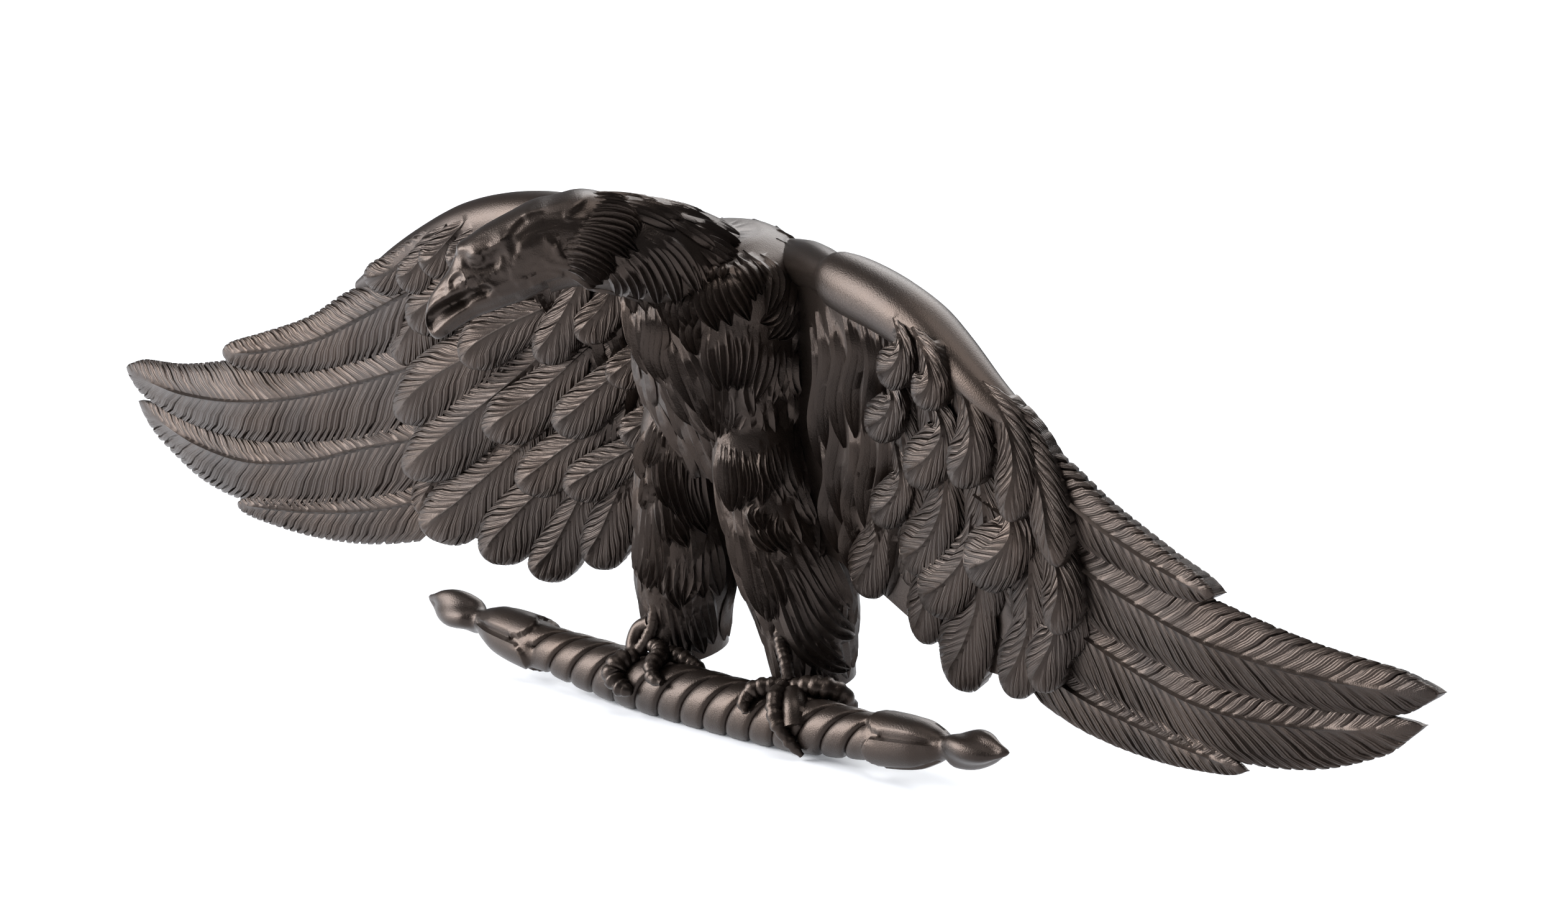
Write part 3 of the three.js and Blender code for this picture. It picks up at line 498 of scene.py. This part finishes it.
def covert_table(points, width, upper=0.45):
    """A covert along a few shaft points; upper is the share of its width above the shaft."""
    path = smooth_line([[x, 0, z] for x, z in points], 9)[0]
    girth = along([[0, 0.55], [0.3, 0.85], [0.6, 1], [0.85, 1], [1, 0.85]], np.linspace(0, 1, 9))[:, 0]
    return [[i / 8, p[0], p[2], width * upper * g, width * (1 - upper) * g] for i, (p, g) in enumerate(zip(path, girth))]


# far wing, each covert: shaft points as (x, z), width, height at the tip
far_coverts = [
    ([(58, 50), (72, 39), (84, 30), (91, 26)], 13, 2.6),
    ([(46, 47), (58, 38), (68, 29), (75, 22)], 12, 2.6),
    ([(42, 46), (50, 34), (57, 25), (63, 20.5)], 10, 2.4),
    ([(30, 50), (37, 39), (42, 31), (47, 25)], 11, 2.4),
    ([(44, 74), (62, 60), (80, 47), (93, 38)], 13, 3.4),
    ([(48, 80), (64, 69), (80, 60), (93, 50)], 13, 3.6),
    ([(62, 86), (70, 81), (78, 76), (84, 71)], 11, 3.8),
    ([(38, 72), (50, 62), (60, 55), (67, 50)], 11, 4.0),
    ([(36, 57), (48, 49), (56, 43), (61, 39.5)], 10, 3.8),
    ([(26, 54), (36, 48), (44, 43), (48, 40)], 9, 3.8),
    ([(46, 80), (56, 75), (64, 70), (69, 65)], 10, 4.4),
    ([(26, 72), (34, 65), (42, 58), (48, 54)], 9.5, 4.2),
    ([(36, 88), (41, 79), (45, 73), (49, 68.5)], 8.5, 4.8),
    ([(29, 88), (31, 82), (34, 78), (36.5, 74)], 7.5, 4.8),
    ([(18, 66), (22, 60), (26, 57), (30, 54)], 8, 4.0),
    ([(22, 78), (25, 72), (28, 69), (31, 66)], 7.5, 4.4),
    ([(74, 92), (82, 86), (90, 81), (98, 79)], 8, 3.6),
    ([(70, 94), (76, 87), (80, 83), (85, 80)], 8, 4.2),
    ([(64, 96), (69, 90), (72, 87), (76, 85)], 8, 4.6),
    ([(58, 97), (62, 91), (65, 88), (68, 87)], 7.5, 4.6),
]
near_coverts = [
    ([(100, 46), (106, 40), (103, 33), (99, 27)], 11, 3.4),
    ([(96, 48), (98, 40), (94, 31), (88, 24)], 12, 3.2),
    ([(84, 48), (80, 38), (74, 29), (67, 21.5)], 15, 3.2),
    ([(62, 52), (64, 42), (61, 34), (57, 28)], 12, 3.0),
    ([(48, 54), (46, 45), (42, 39), (38, 34)], 12, 3.0),
    ([(98, 64), (107, 56), (110, 48), (107, 39.5)], 11, 4.2),
    ([(92, 84), (101, 76), (107, 66), (110, 53)], 11, 4.6),
    ([(92, 66), (96, 58), (92, 52), (82, 47)], 13, 4.6),
    ([(82, 58), (80, 50), (73, 43), (63, 37)], 13, 4.2),
    ([(76, 66), (74, 58), (68, 50), (58, 44)], 12, 4.2),
    ([(58, 68), (60, 61), (56, 56), (49, 51)], 9, 4.0),
    ([(90, 86), (98, 78), (100, 70), (97, 60)], 10, 5.0),
    ([(82, 88), (88, 80), (88, 72), (82, 65)], 10, 5.0),
    ([(74, 82), (79, 75), (75, 69), (66, 63)], 10.5, 4.8),
    ([(58, 84), (63, 78), (60, 74), (53, 70)], 9, 4.8),
    ([(72, 94), (78, 89), (79, 84), (74, 80)], 8.5, 5.0),
    ([(66, 95), (70, 90), (68, 86), (62, 82.5)], 8.5, 5.0),
]

# long low feathers under the coverts of each wing
far_under = [
    ([(52, 92), (70, 82), (84, 72), (94, 62)], 14, 1.6),
    ([(40, 90), (58, 76), (74, 62), (90, 46)], 15, 1.5),
    ([(34, 84), (50, 64), (66, 48), (82, 32)], 15, 1.2),
    ([(30, 76), (42, 56), (54, 42), (68, 27)], 14, 1.2),
    ([(28, 66), (36, 50), (46, 38), (56, 27)], 13, 1.0),
    ([(24, 60), (30, 48), (36, 38), (40, 30)], 12, 1.0),
    ([(70, 56), (80, 44), (88, 35), (93, 29)], 11, 1.4),
]
near_under = [
    ([(98, 80), (106, 64), (109, 48), (106, 33)], 14, 1.8),
    ([(90, 86), (98, 68), (99, 50), (95, 32)], 14, 1.8),
    ([(80, 90), (86, 72), (86, 54), (78, 34)], 14, 1.8),
    ([(70, 92), (74, 74), (72, 56), (64, 36)], 14, 1.7),
    ([(60, 93), (62, 76), (60, 58), (54, 38)], 13, 1.5),
]
# wavy locks on the wing where it leaves the body: (points as (x, z), width, height)
near_waves = [
    ([(44, 94), (47, 85), (43, 76), (42, 66)], 5, 1.8), ([(50, 94), (53, 84), (50, 75), (46, 67)], 5, 1.8),
    ([(56, 93), (59, 85), (57, 78), (52, 71)], 5, 2.0), ([(38, 92), (40, 82), (36, 73), (37, 63)], 5, 1.6),
    ([(47, 74), (46, 64), (42, 55), (42, 46)], 5, 1.8), ([(41, 70), (41, 60), (36, 51), (38, 41)], 5, 1.7),
    ([(53, 72), (52, 62), (48, 53), (47, 43)], 5, 2.0), ([(34, 76), (35, 66), (31, 56), (33, 46)], 5, 1.6),
    ([(33, 90), (34, 80), (30, 70), (31, 60)], 5, 1.5), ([(57, 64), (56, 55), (52, 47), (49, 38)], 5, 2.0),
    ([(29, 86), (30, 76), (26, 66), (28, 56)], 5, 1.4), ([(28, 66), (30, 56), (27, 48), (30, 40)], 5, 1.4),
    ([(46, 56), (44, 48), (41, 42), (40, 35)], 5, 1.8), ([(36, 56), (36, 48), (33, 42), (35, 36)], 5, 1.5),
    ([(61, 90), (63, 82), (61, 75), (57, 69)], 4.5, 1.8), ([(53, 52), (51, 45), (48, 40), (45, 34)], 5, 1.9),
]
far_waves = [
    ([(24, 88), (27, 80), (24, 74), (26, 66)], 5, 1.6), ([(30, 84), (32, 75), (29, 67), (31, 58)], 5, 1.7),
    ([(36, 80), (37, 71), (34, 64), (36, 56)], 5, 1.7), ([(22, 70), (25, 61), (22, 52), (26, 44)], 5, 1.5),
    ([(28, 62), (31, 54), (28, 46), (31, 38)], 5, 1.6), ([(24, 50), (27, 43), (25, 36), (29, 30)], 5, 1.5),
    ([(40, 90), (43, 84), (43, 77), (41, 70)], 5, 1.7), ([(35, 60), (37, 52), (34, 45), (37, 37)], 5, 1.6),
    ([(46, 94), (49, 88), (49, 82), (46, 76)], 5, 1.7), ([(20, 84), (22, 76), (19, 68), (22, 60)], 5, 1.4),
]


def on_wing(x, z):
    """The front of the wing sheet as (x, z)."""
    x, z = np.asarray(x, float), np.asarray(z, float)
    return np.stack([x, sheet_front(x, z), z], -1), np.broadcast_to([0.0, -1.0, 0.0], x.shape + (3,))


for side in (-1, 1):
    sheet(side)
    arm(side)
    for number, (front, table) in enumerate(flight):
        feather(table, side, [[0, front], [1, front + 0.4]], 3.2 if side > 0 else 2.8, 0.5, back=5,
                ragged=0.9 if side > 0 else 0.5, round_tip=0.07, shaft=0.5, seed=number + 10)
for side, coverts in ((-1, far_under), (1, near_under)):
    for number, (points, width, tip) in enumerate(coverts):
        feather(covert_table(points, width), side, [[0, tip * 0.5], [1, tip]], 2.8, 0.4, sweep=(1.6, 1.6),
                seed=number + 70)
for side, coverts in ((-1, far_coverts), (1, near_coverts)):
    for number, (points, width, tip) in enumerate(coverts):
        feather(covert_table(points, width), side, [[0, tip * 0.2], [0.7, tip * 0.95], [1, tip]], 2.5, 0.42,
                swell=0.7, sweep=(1.7, 1.7), calm=0.16, seed=number + 40)
for side, waves in ((-1, far_waves), (1, near_waves)):
    for points, wide, high in waves:
        lock(on_wing, points, wide, high, side)

# Neck and head: hackles sweep back from the cheek along the neck. The beak is open a little, with a
# sharp culmen and a hook; a heavy brow stands over each eye.
head_turn = math.radians(49)
lateral = -np.array([-math.sin(head_turn), math.cos(head_turn), 0])
neck_and_head = [
    [0, 0, 8, 91, 15, 8],
    [0.16, 0, -8, 97, 12.5, 9.8],
    [0.32, -1.5, -20, 100.9, 10, 9.4],
    [0.44, -6, -27, 101.7, 8.4, 8.9],
    [0.58, -11, -32.5, 99.6, 7, 8],
    [0.72, -15.5, -37.8, 97.2, 7.6, 8.8],
    [0.84, -19, -41.8, 94, 6.6, 7.8],
    [0.92, -21, -44.2, 92, 5, 6.2],
    [1, -22.3, -45.7, 90.4, 3.6, 4.6],
]
# profile of head and beak: [forwards, height] along the crown and culmen, then along throat and jaw, and half width
head_profile = np.array([
    [12, 105, 12, 99, 3], [16.8, 109.6, 16.9, 96, 6.4], [21.7, 111.2, 21.7, 94.8, 7.4],
    [25.9, 111.5, 26, 94, 7.6], [30.2, 110.4, 29.7, 92.7, 7.5], [33.9, 109.6, 32.8, 91.2, 7.3],
    [38.8, 107.1, 35.8, 89.7, 6.9], [43.7, 104.4, 38.9, 88.6, 6.4], [47.3, 101.9, 41.3, 87.7, 5.8],
    [49.1, 100.6, 43.3, 87, 5.2], [49.4, 99, 45, 86.4, 4.7], [50.8, 95.6, 46.7, 85.5, 4.1],
    [52.9, 92.6, 48.3, 84.5, 3.5], [54.6, 89.9, 49.7, 83.6, 2.9], [55.3, 87.4, 50.8, 82.8, 2.3],
    [55.4, 84.9, 51.8, 82.1, 1.8], [54.6, 82.9, 52.6, 81.8, 1.1], [53.9, 82.1, 53.2, 81.8, 0.5],
])
# forms on each side of the head: (points as [forwards, height], half width, how far they stand out).
# head() widens them all by spread and flattens them all by depth.
head_forms = [
    ([(49, 100.9), (47.2, 100.6), (45, 100.6), (42.9, 101), (41.3, 101.6), (40, 102.8)], 0.8, 1.3),
    ([(48, 98.8), (46, 98.2), (43.5, 98), (41.6, 98.8)], 1.5, -1.5),
    ([(46.6, 96.8), (44, 96.9), (42, 97.6)], 0.9, -0.8),
    ([(45.4, 98.9), (45.1, 98.8)], 0.8, 1.5),
    ([(46.5, 99.2), (45.5, 99.9), (44.3, 99.5), (44.1, 98.3), (44.9, 97.5), (46.1, 97.8)], 0.35, 0.7),
    ([(43.2, 100.4), (42.5, 99.6), (42.6, 98.4), (43.4, 97.4)], 0.3, 0.5),
    ([(40.2, 98.7), (40.6, 97.1), (42, 96.1), (43.3, 95.8), (45, 95.5), (47, 94.8), (48.7, 93.7), (50.6, 92.2)], 0.5, 0.9),
    ([(50.6, 93), (50.6, 94.3), (49.8, 95.4), (48.7, 95.9), (47.7, 95.7), (47.5, 94.8), (48.1, 93.7)], 0.35, 0.7),
    ([(49.9, 93.6), (49.2, 94.5), (48.6, 94.9)], 0.5, -0.7),
    ([(55, 88), (53.3, 89.6), (51, 91), (47.9, 92.6), (45.4, 93.6), (43.4, 94.1), (42, 93.5), (41.6, 92.5), (42.4, 91.6)], 0.45, 0.8),
    ([(54.4, 90.1), (52.6, 91.5), (50.2, 92.6), (47.8, 93.7), (45.3, 94.6), (43.1, 95)], 0.3, -0.4),
    ([(54.5, 86.2), (52.7, 87.9), (50, 89.5), (47.3, 91), (44.6, 92.1), (43.2, 92.3)], 0.75, -2.0),
    ([(54.2, 84.7), (52.5, 86.4), (50.3, 88.2), (47.9, 89.7)], 0.75, -2.0),
    ([(53.1, 83.6), (51.4, 85.4), (49, 87.4), (46.6, 89.1), (44.2, 90.5), (42.3, 91.6)], 0.5, 0.5),
    ([(50.9, 83.6), (48.4, 85.9), (45.4, 87.8), (41.8, 89.3), (37.5, 90.8)], 0.4, -0.4),
    ([(55.7, 88.4), (55.8, 85.9), (54.9, 84), (53.8, 82.8)], 0.4, 0.4),
    ([(48.1, 101.8), (44.7, 103.2), (41, 105.3), (37.4, 107.4), (34.7, 109.2)], 0.4, 0.6),
    ([(46.3, 101.6), (42.7, 102.8), (39.7, 105), (36.6, 107.2), (34.7, 108.3)], 0.4, 0.6),
    ([(42, 101.6), (39.2, 103.9), (37.1, 106.3), (35.3, 107.9), (32.2, 108.8)], 0.4, 0.8),
    ([(35.4, 107.9), (31.3, 109.1), (27, 110.3), (24.4, 111.6)], 0.45, 0.8),
    ([(34.9, 106.9), (31.3, 107.8), (27.5, 108.9), (24.4, 110.8)], 0.4, 0.7),
    ([(27.4, 107.8), (25.4, 109.5), (23.5, 111), (21.3, 111.8)], 0.45, 0.8),
    ([(37.4, 103.4), (34.9, 105.4), (31.9, 106.5), (28.2, 107), (24, 107)], 0.45, 0.8),
    ([(36.4, 102.3), (34.2, 104), (31.3, 105), (28.2, 105.4), (24.6, 105.1)], 0.45, 0.9),
    ([(31.3, 103.3), (28.2, 103.9), (25.2, 103.9), (22.2, 103.2)], 0.45, 0.9),
    ([(36.4, 101.2), (33.9, 102.6), (31.9, 102.9), (30.3, 102.3), (29, 101.3)], 0.45, 1.0),
    ([(37.2, 99.7), (34.7, 101.2), (32.1, 101.6), (30.1, 100.9), (28.4, 99.8)], 0.45, 1.0),
    ([(29.5, 101.6), (26.4, 102.3), (23.7, 101.9), (21.4, 100.6)], 0.45, 0.9),
    ([(37.4, 98.2), (34.9, 99.9), (32.3, 100.3), (29.8, 99.6), (27.2, 98.9)], 0.4, 0.9),
    ([(38.1, 97), (35.4, 98.6), (32.7, 99.2), (29.8, 98.4), (26.6, 97.6)], 0.4, 0.9),
    ([(38, 95.6), (35, 97.2), (31.8, 97.9), (28.3, 97.3), (25, 96.4)], 0.4, 0.8),
    ([(36.9, 94.2), (34, 95.7), (31.1, 96.6), (28.3, 96)], 0.4, 0.8),
    ([(34, 94.2), (31.3, 95), (29.3, 95.2), (27, 94.9)], 0.4, 0.7),
    ([(39.4, 101.2), (38.6, 99.7), (38.7, 98), (39.7, 96.2)], 0.5, 0.5),
    ([(40.7, 93.4), (38.6, 94.3), (36.2, 95.3)], 0.4, 0.5), ([(40.4, 91.5), (37.9, 92.4), (35.2, 93.3), (32.6, 93.8)], 0.4, 0.5),
]


def head():
    run = np.r_[0, np.cumsum(np.linalg.norm(np.diff(head_profile[:, :4], axis=0), axis=1))]
    top_a, top_z, low_a, low_z, wide = along(np.c_[run, head_profile], np.linspace(0, run[-1], 130)).T[..., None]
    turn = np.linspace(0, 2 * np.pi, 76, endpoint=False)[None]
    c, s = np.cos(turn), np.sin(turn)
    share = 0.5 + 0.5 * np.sign(c) * np.abs(c) ** 0.85
    forwards = low_a + (top_a - low_a) * share
    height = low_z + (top_z - low_z) * share
    outwards = wide * np.abs(s) ** 0.8
    place = np.stack([forwards, height], -1)
    relief = 0 * outwards
    for points, half, out in head_forms:
        line = smooth_line(points, 30)[0]
        near = np.sqrt(((place[..., None, :] - line) ** 2).sum(-1).min(-1))
        relief = relief + depth * out * np.exp(-((near / (spread * half)) ** 2))
    outwards = np.sign(s) * np.maximum(outwards + relief * np.minimum(np.abs(s) * 1.6, 1), 0.05 * np.abs(s))
    cast(np.stack([
        outwards * lateral[0] - forwards * math.cos(head_turn) + head_off * lateral[0],
        outwards * lateral[1] - forwards * math.sin(head_turn) + head_off * lateral[1],
        height,
    ], -1))


head_off, spread, depth = 13.1, 1.5, 0.75
limb(neck_and_head, lateral, 44, 36, last=0.6)
head()
neck_locks = [
    ([(10, 0.50), (5, 0.45), (-4, 0.39), (-16, 0.36)], 4, 1.3), ([(0, 0.50), (-5, 0.44), (-14, 0.38), (-26, 0.36)], 4, 1.3),
    ([(-10, 0.50), (-16, 0.45), (-26, 0.39), (-38, 0.37)], 4, 1.3), ([(-20, 0.50), (-28, 0.45), (-38, 0.41), (-48, 0.38)], 4, 1.3),
    ([(20, 0.48), (16, 0.43), (8, 0.37), (-4, 0.34)], 4, 1.3), ([(28, 0.47), (26, 0.41), (18, 0.36), (6, 0.33)], 4, 1.4),
    ([(34, 0.46), (38, 0.40), (34, 0.35), (22, 0.335)], 4, 1.6), ([(40, 0.46), (46, 0.39), (42, 0.345), (30, 0.33)], 4, 1.6),
    ([(54, 0.46), (58, 0.39), (52, 0.35), (42, 0.335)], 4, 1.5), ([(-20, 0.38), (-36, 0.345), (-54, 0.33), (-72, 0.32)], 4.5, 1.3),
    ([(-8, 0.36), (-24, 0.33), (-42, 0.30), (-62, 0.27)], 4.5, 1.3), ([(6, 0.345), (-10, 0.31), (-30, 0.27), (-54, 0.22)], 4.5, 1.3),
    ([(20, 0.335), (4, 0.29), (-18, 0.24), (-44, 0.18)], 4.5, 1.2), ([(32, 0.32), (20, 0.26), (2, 0.21), (-16, 0.17)], 4.5, 1.2),
    ([(24, 0.22), (8, 0.19), (-10, 0.15), (-28, 0.09)], 4.5, 1.3), ([(22, 0.16), (8, 0.13), (-6, 0.09), (-20, 0.03)], 4.5, 1.3),
    ([(26, 0.10), (14, 0.06), (4, 0.03)], 4, 1.2), ([(36, 0.20), (26, 0.14), (18, 0.10)], 4, 1.2),
    ([(-36, 0.50), (-46, 0.44), (-58, 0.40)], 4, 1.1), ([(66, 0.50), (70, 0.42), (66, 0.34)], 4, 1.2),
    ([(64, 0.40), (56, 0.32), (44, 0.26)], 4, 1.2), ([(76, 0.50), (80, 0.42), (78, 0.34)], 4, 1.2),
    ([(76, 0.38), (72, 0.30), (62, 0.23)], 4.5, 1.1), ([(60, 0.28), (50, 0.21), (38, 0.16)], 4, 1.1),
    ([(48, 0.20), (42, 0.14), (36, 0.09)], 4.5, 1.1), ([(66, 0.22), (62, 0.15), (56, 0.08)], 4.5, 1.1),
    ([(80, 0.30), (80, 0.22), (76, 0.14)], 4.5, 1.0), ([(88, 0.46), (92, 0.38), (90, 0.30)], 4.5, 1.0),
]
for points, wide, high in neck_locks:
    lock(on_limb(neck_and_head, lateral), points, wide, high)
cover(on_limb(neck_and_head, lateral), 7, 9, 0.56, 0.14, 170, 200, -0.17, 12, 4.4, 1.0, seed=8)

# All skins fused into one bronze casting.
def mesh_object(name, points, faces, marks):
    mesh = bpy.data.meshes.new(name)
    mesh.from_pydata((points * 0.001).tolist(), [], faces.tolist())
    layer = mesh.uv_layers.new(name="chasing")
    corner = np.zeros(len(mesh.loops), np.int32)
    mesh.loops.foreach_get("vertex_index", corner)
    layer.uv.foreach_set("vector", (marks[corner] * [0.1, 1.0]).astype(np.float32).ravel())
    return bpy.data.objects.new(name, mesh)


skins = bpy.data.collections.new("skins")
for number, (points, faces, marks) in enumerate(metal[1:]):
    skins.objects.link(mesh_object(f"skin_{number}", points, faces, marks))
casting = mesh_object("cast_eagle", *metal[0])
bpy.context.scene.collection.objects.link(casting)
fuse = casting.modifiers.new("fuse", "BOOLEAN")
fuse.operation = "UNION"
fuse.operand_type = "COLLECTION"
fuse.collection = skins
fuse.solver = "MANIFOLD"
fused = bpy.data.meshes.new_from_object(casting.evaluated_get(bpy.context.evaluated_depsgraph_get()))
casting.modifiers.clear()
casting.data = fused
for o in list(skins.objects):
    bpy.data.objects.remove(o)
bpy.data.collections.remove(skins)
# the fused skin is thinned to 192,000 triangles, so that the piece stays under 200,000
fused.calc_loop_triangles()
thin = casting.modifiers.new("thin", "DECIMATE")
thin.ratio = min(1.0, 192000 / len(fused.loop_triangles))
thin.use_collapse_triangulate = True
light = bpy.data.meshes.new_from_object(casting.evaluated_get(bpy.context.evaluated_depsgraph_get()))
casting.modifiers.clear()
casting.data = light
bpy.data.meshes.remove(fused)
fused = light


def keep_outer_skin(mesh):
    """Keeps the largest skin: sealed pockets between the forms and loose crumbs go, and pinholes are
    filled. A few open or doubled edges stay, so the skin isn't fully closed."""
    work = bmesh.new()
    work.from_mesh(mesh)
    tiny = 1e-7
    bmesh.ops.dissolve_degenerate(work, dist=tiny, edges=work.edges)
    left, shells = set(work.faces), []
    while left:
        shell, edge_of = set(), [left.pop()]
        while edge_of:
            face = edge_of.pop()
            shell.add(face)
            for edge in face.edges:
                beside = left.intersection(edge.link_faces)
                left -= beside
                edge_of.extend(beside)
        shells.append(shell)
    outer = max(shells, key=len)
    bmesh.ops.delete(work, geom=[face for face in work.faces if face not in outer], context="FACES")
    bmesh.ops.holes_fill(work, edges=[edge for edge in work.edges if edge.is_boundary], sides=0)
    bmesh.ops.triangulate(work, faces=[face for face in work.faces if len(face.verts) > 3])
    work.to_mesh(mesh)
    work.free()


keep_outer_skin(fused)
fused.shade_smooth()
fused.set_sharp_from_angle(angle=math.radians(55))


def linear(hex_colour):
    """An sRGB hex colour as linear red, green, blue and 1."""
    parts = [int(hex_colour[i:i + 2], 16) / 255 for i in (1, 3, 5)]
    return [c / 12.92 if c <= 0.04045 else ((c + 0.055) / 1.055) ** 2.4 for c in parts] + [1]


def add(tree, kind, settings=(), links=()):
    """A node with its settings; a name is a property or an input, and links feed inputs."""
    node = tree.nodes.new(kind)
    for key, value in dict(settings).items():
        if isinstance(key, str) and hasattr(node, key) and key not in node.inputs:
            setattr(node, key, value)
        else:
            node.inputs[key].default_value = value
    for key, source in dict(links).items():
        tree.links.new(source, node.inputs[key])
    return node


# Bronze cast in sand, chased, then darkened with a brown-black patina and waxed. The patina mutes the
# metal, the wax gives a satin sheen, the sand leaves a fine grain of about 0.3 mm, and the chaser's
# lines run 0.75 mm apart across the feathers.
bronze = bpy.data.materials.new("patinated_cast_bronze")
bronze.use_nodes = True
tree = bronze.node_tree
shader = tree.nodes["Principled BSDF"]
shader.inputs["Metallic"].default_value = 0.8
place = add(tree, "ShaderNodeTexCoord")
grain = add(tree, "ShaderNodeTexNoise", {"Scale": 3600, "Detail": 2.0}, {"Vector": place.outputs["Object"]})
cloud = add(tree, "ShaderNodeTexNoise", {"Scale": 60, "Detail": 3.0}, {"Vector": place.outputs["Object"]})
tint = add(tree, "ShaderNodeMix", {"data_type": "RGBA"}, {"Factor": cloud.outputs["Fac"]})
tint.inputs["A"].default_value = linear("#2c2725")
tint.inputs["B"].default_value = linear("#3d322b")
tree.links.new(tint.outputs["Result"], shader.inputs["Base Color"])
marks = add(tree, "ShaderNodeUVMap", {"uv_map": "chasing"})
split = add(tree, "ShaderNodeSeparateXYZ", {}, {"Vector": marks.outputs["UV"]})
stripe = add(tree, "ShaderNodeMath", {"operation": "SINE"})
scale = add(tree, "ShaderNodeMath", {"operation": "MULTIPLY", 1: 2 * math.pi * 10 / 0.75}, {0: split.outputs["X"]})
tree.links.new(scale.outputs[0], stripe.inputs[0])
depth = add(tree, "ShaderNodeMath", {"operation": "MULTIPLY"}, {0: stripe.outputs[0], 1: split.outputs["Y"]})
chased = add(tree, "ShaderNodeBump", {"Distance": 0.00004, "Strength": 1.0}, {"Height": depth.outputs[0]})
sandy = add(tree, "ShaderNodeBump", {"Distance": 0.00009, "Strength": 0.6},
            {"Height": grain.outputs["Fac"], "Normal": chased.outputs["Normal"]})
tree.links.new(sandy.outputs["Normal"], shader.inputs["Normal"])
shader.inputs["Roughness"].default_value = 0.36
casting.data.materials.clear()
casting.data.materials.append(bronze)
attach(casting, "root")
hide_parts("eagle")

# Floor and light: a flat pale table, and three wide soft lamps. The lamp at the side gives the far wing
# its grey sheen; the body keeps it off the near wing.
floor_mesh = bpy.data.meshes.new("floor")
floor_mesh.from_pydata([(-6, -6, 0), (6, -6, 0), (6, 6, 0), (-6, 6, 0)], [], [(0, 1, 2, 3)])
floor = bpy.data.objects.new("floor", floor_mesh)
bpy.context.scene.collection.objects.link(floor)
pale = bpy.data.materials.new("pale_table")
pale.use_nodes = True
pale.node_tree.nodes["Principled BSDF"].inputs["Base Color"].default_value = linear("#f4f6fa")
pale.node_tree.nodes["Principled BSDF"].inputs["Roughness"].default_value = 0.35
pale.node_tree.nodes["Principled BSDF"].inputs["Emission Color"].default_value = linear("#eef3fb")
pale.node_tree.nodes["Principled BSDF"].inputs["Emission Strength"].default_value = 0.15
floor_mesh.materials.append(pale)

world = bpy.data.worlds.new("studio")
bpy.context.scene.world = world
world.use_nodes = True
world.node_tree.nodes["Background"].inputs["Color"].default_value = linear("#f4f7ff")
world.node_tree.nodes["Background"].inputs["Strength"].default_value = 0.12
bpy.context.scene.view_settings.view_transform = "Standard"


def soft_lamp(name, at, aim, size, watts):
    data = bpy.data.lights.new(name, "AREA")
    data.shape, data.size, data.energy = "SQUARE", size, watts
    lamp = bpy.data.objects.new(name, data)
    lamp.location = at
    toward = (np.array(aim) - np.array(at)).tolist()
    lamp.rotation_euler = Vector(toward).to_track_quat("-Z", "Y").to_euler()
    bpy.context.scene.collection.objects.link(lamp)


soft_lamp("side", (-0.75, -0.75, 0.45), (0, 0, 0.05), 0.8, 34)
soft_lamp("back", (-0.5, 0.9, 0.9), (0, 0, 0.03), 1.0, 15)
soft_lamp("top", (0.2, -0.1, 1.6), (0, 0, 0), 1.2, 18)

camera_data = bpy.data.cameras.new("camera")
camera_data.sensor_width = 36
camera_data.lens = 200.25
camera = bpy.data.objects.new("camera", camera_data)
camera.location = (1.290219, -1.103964, 0.417)
camera.rotation_euler = (math.radians(78), 0, math.radians(48.9368))
bpy.context.scene.collection.objects.link(camera)
bpy.context.scene.camera = camera
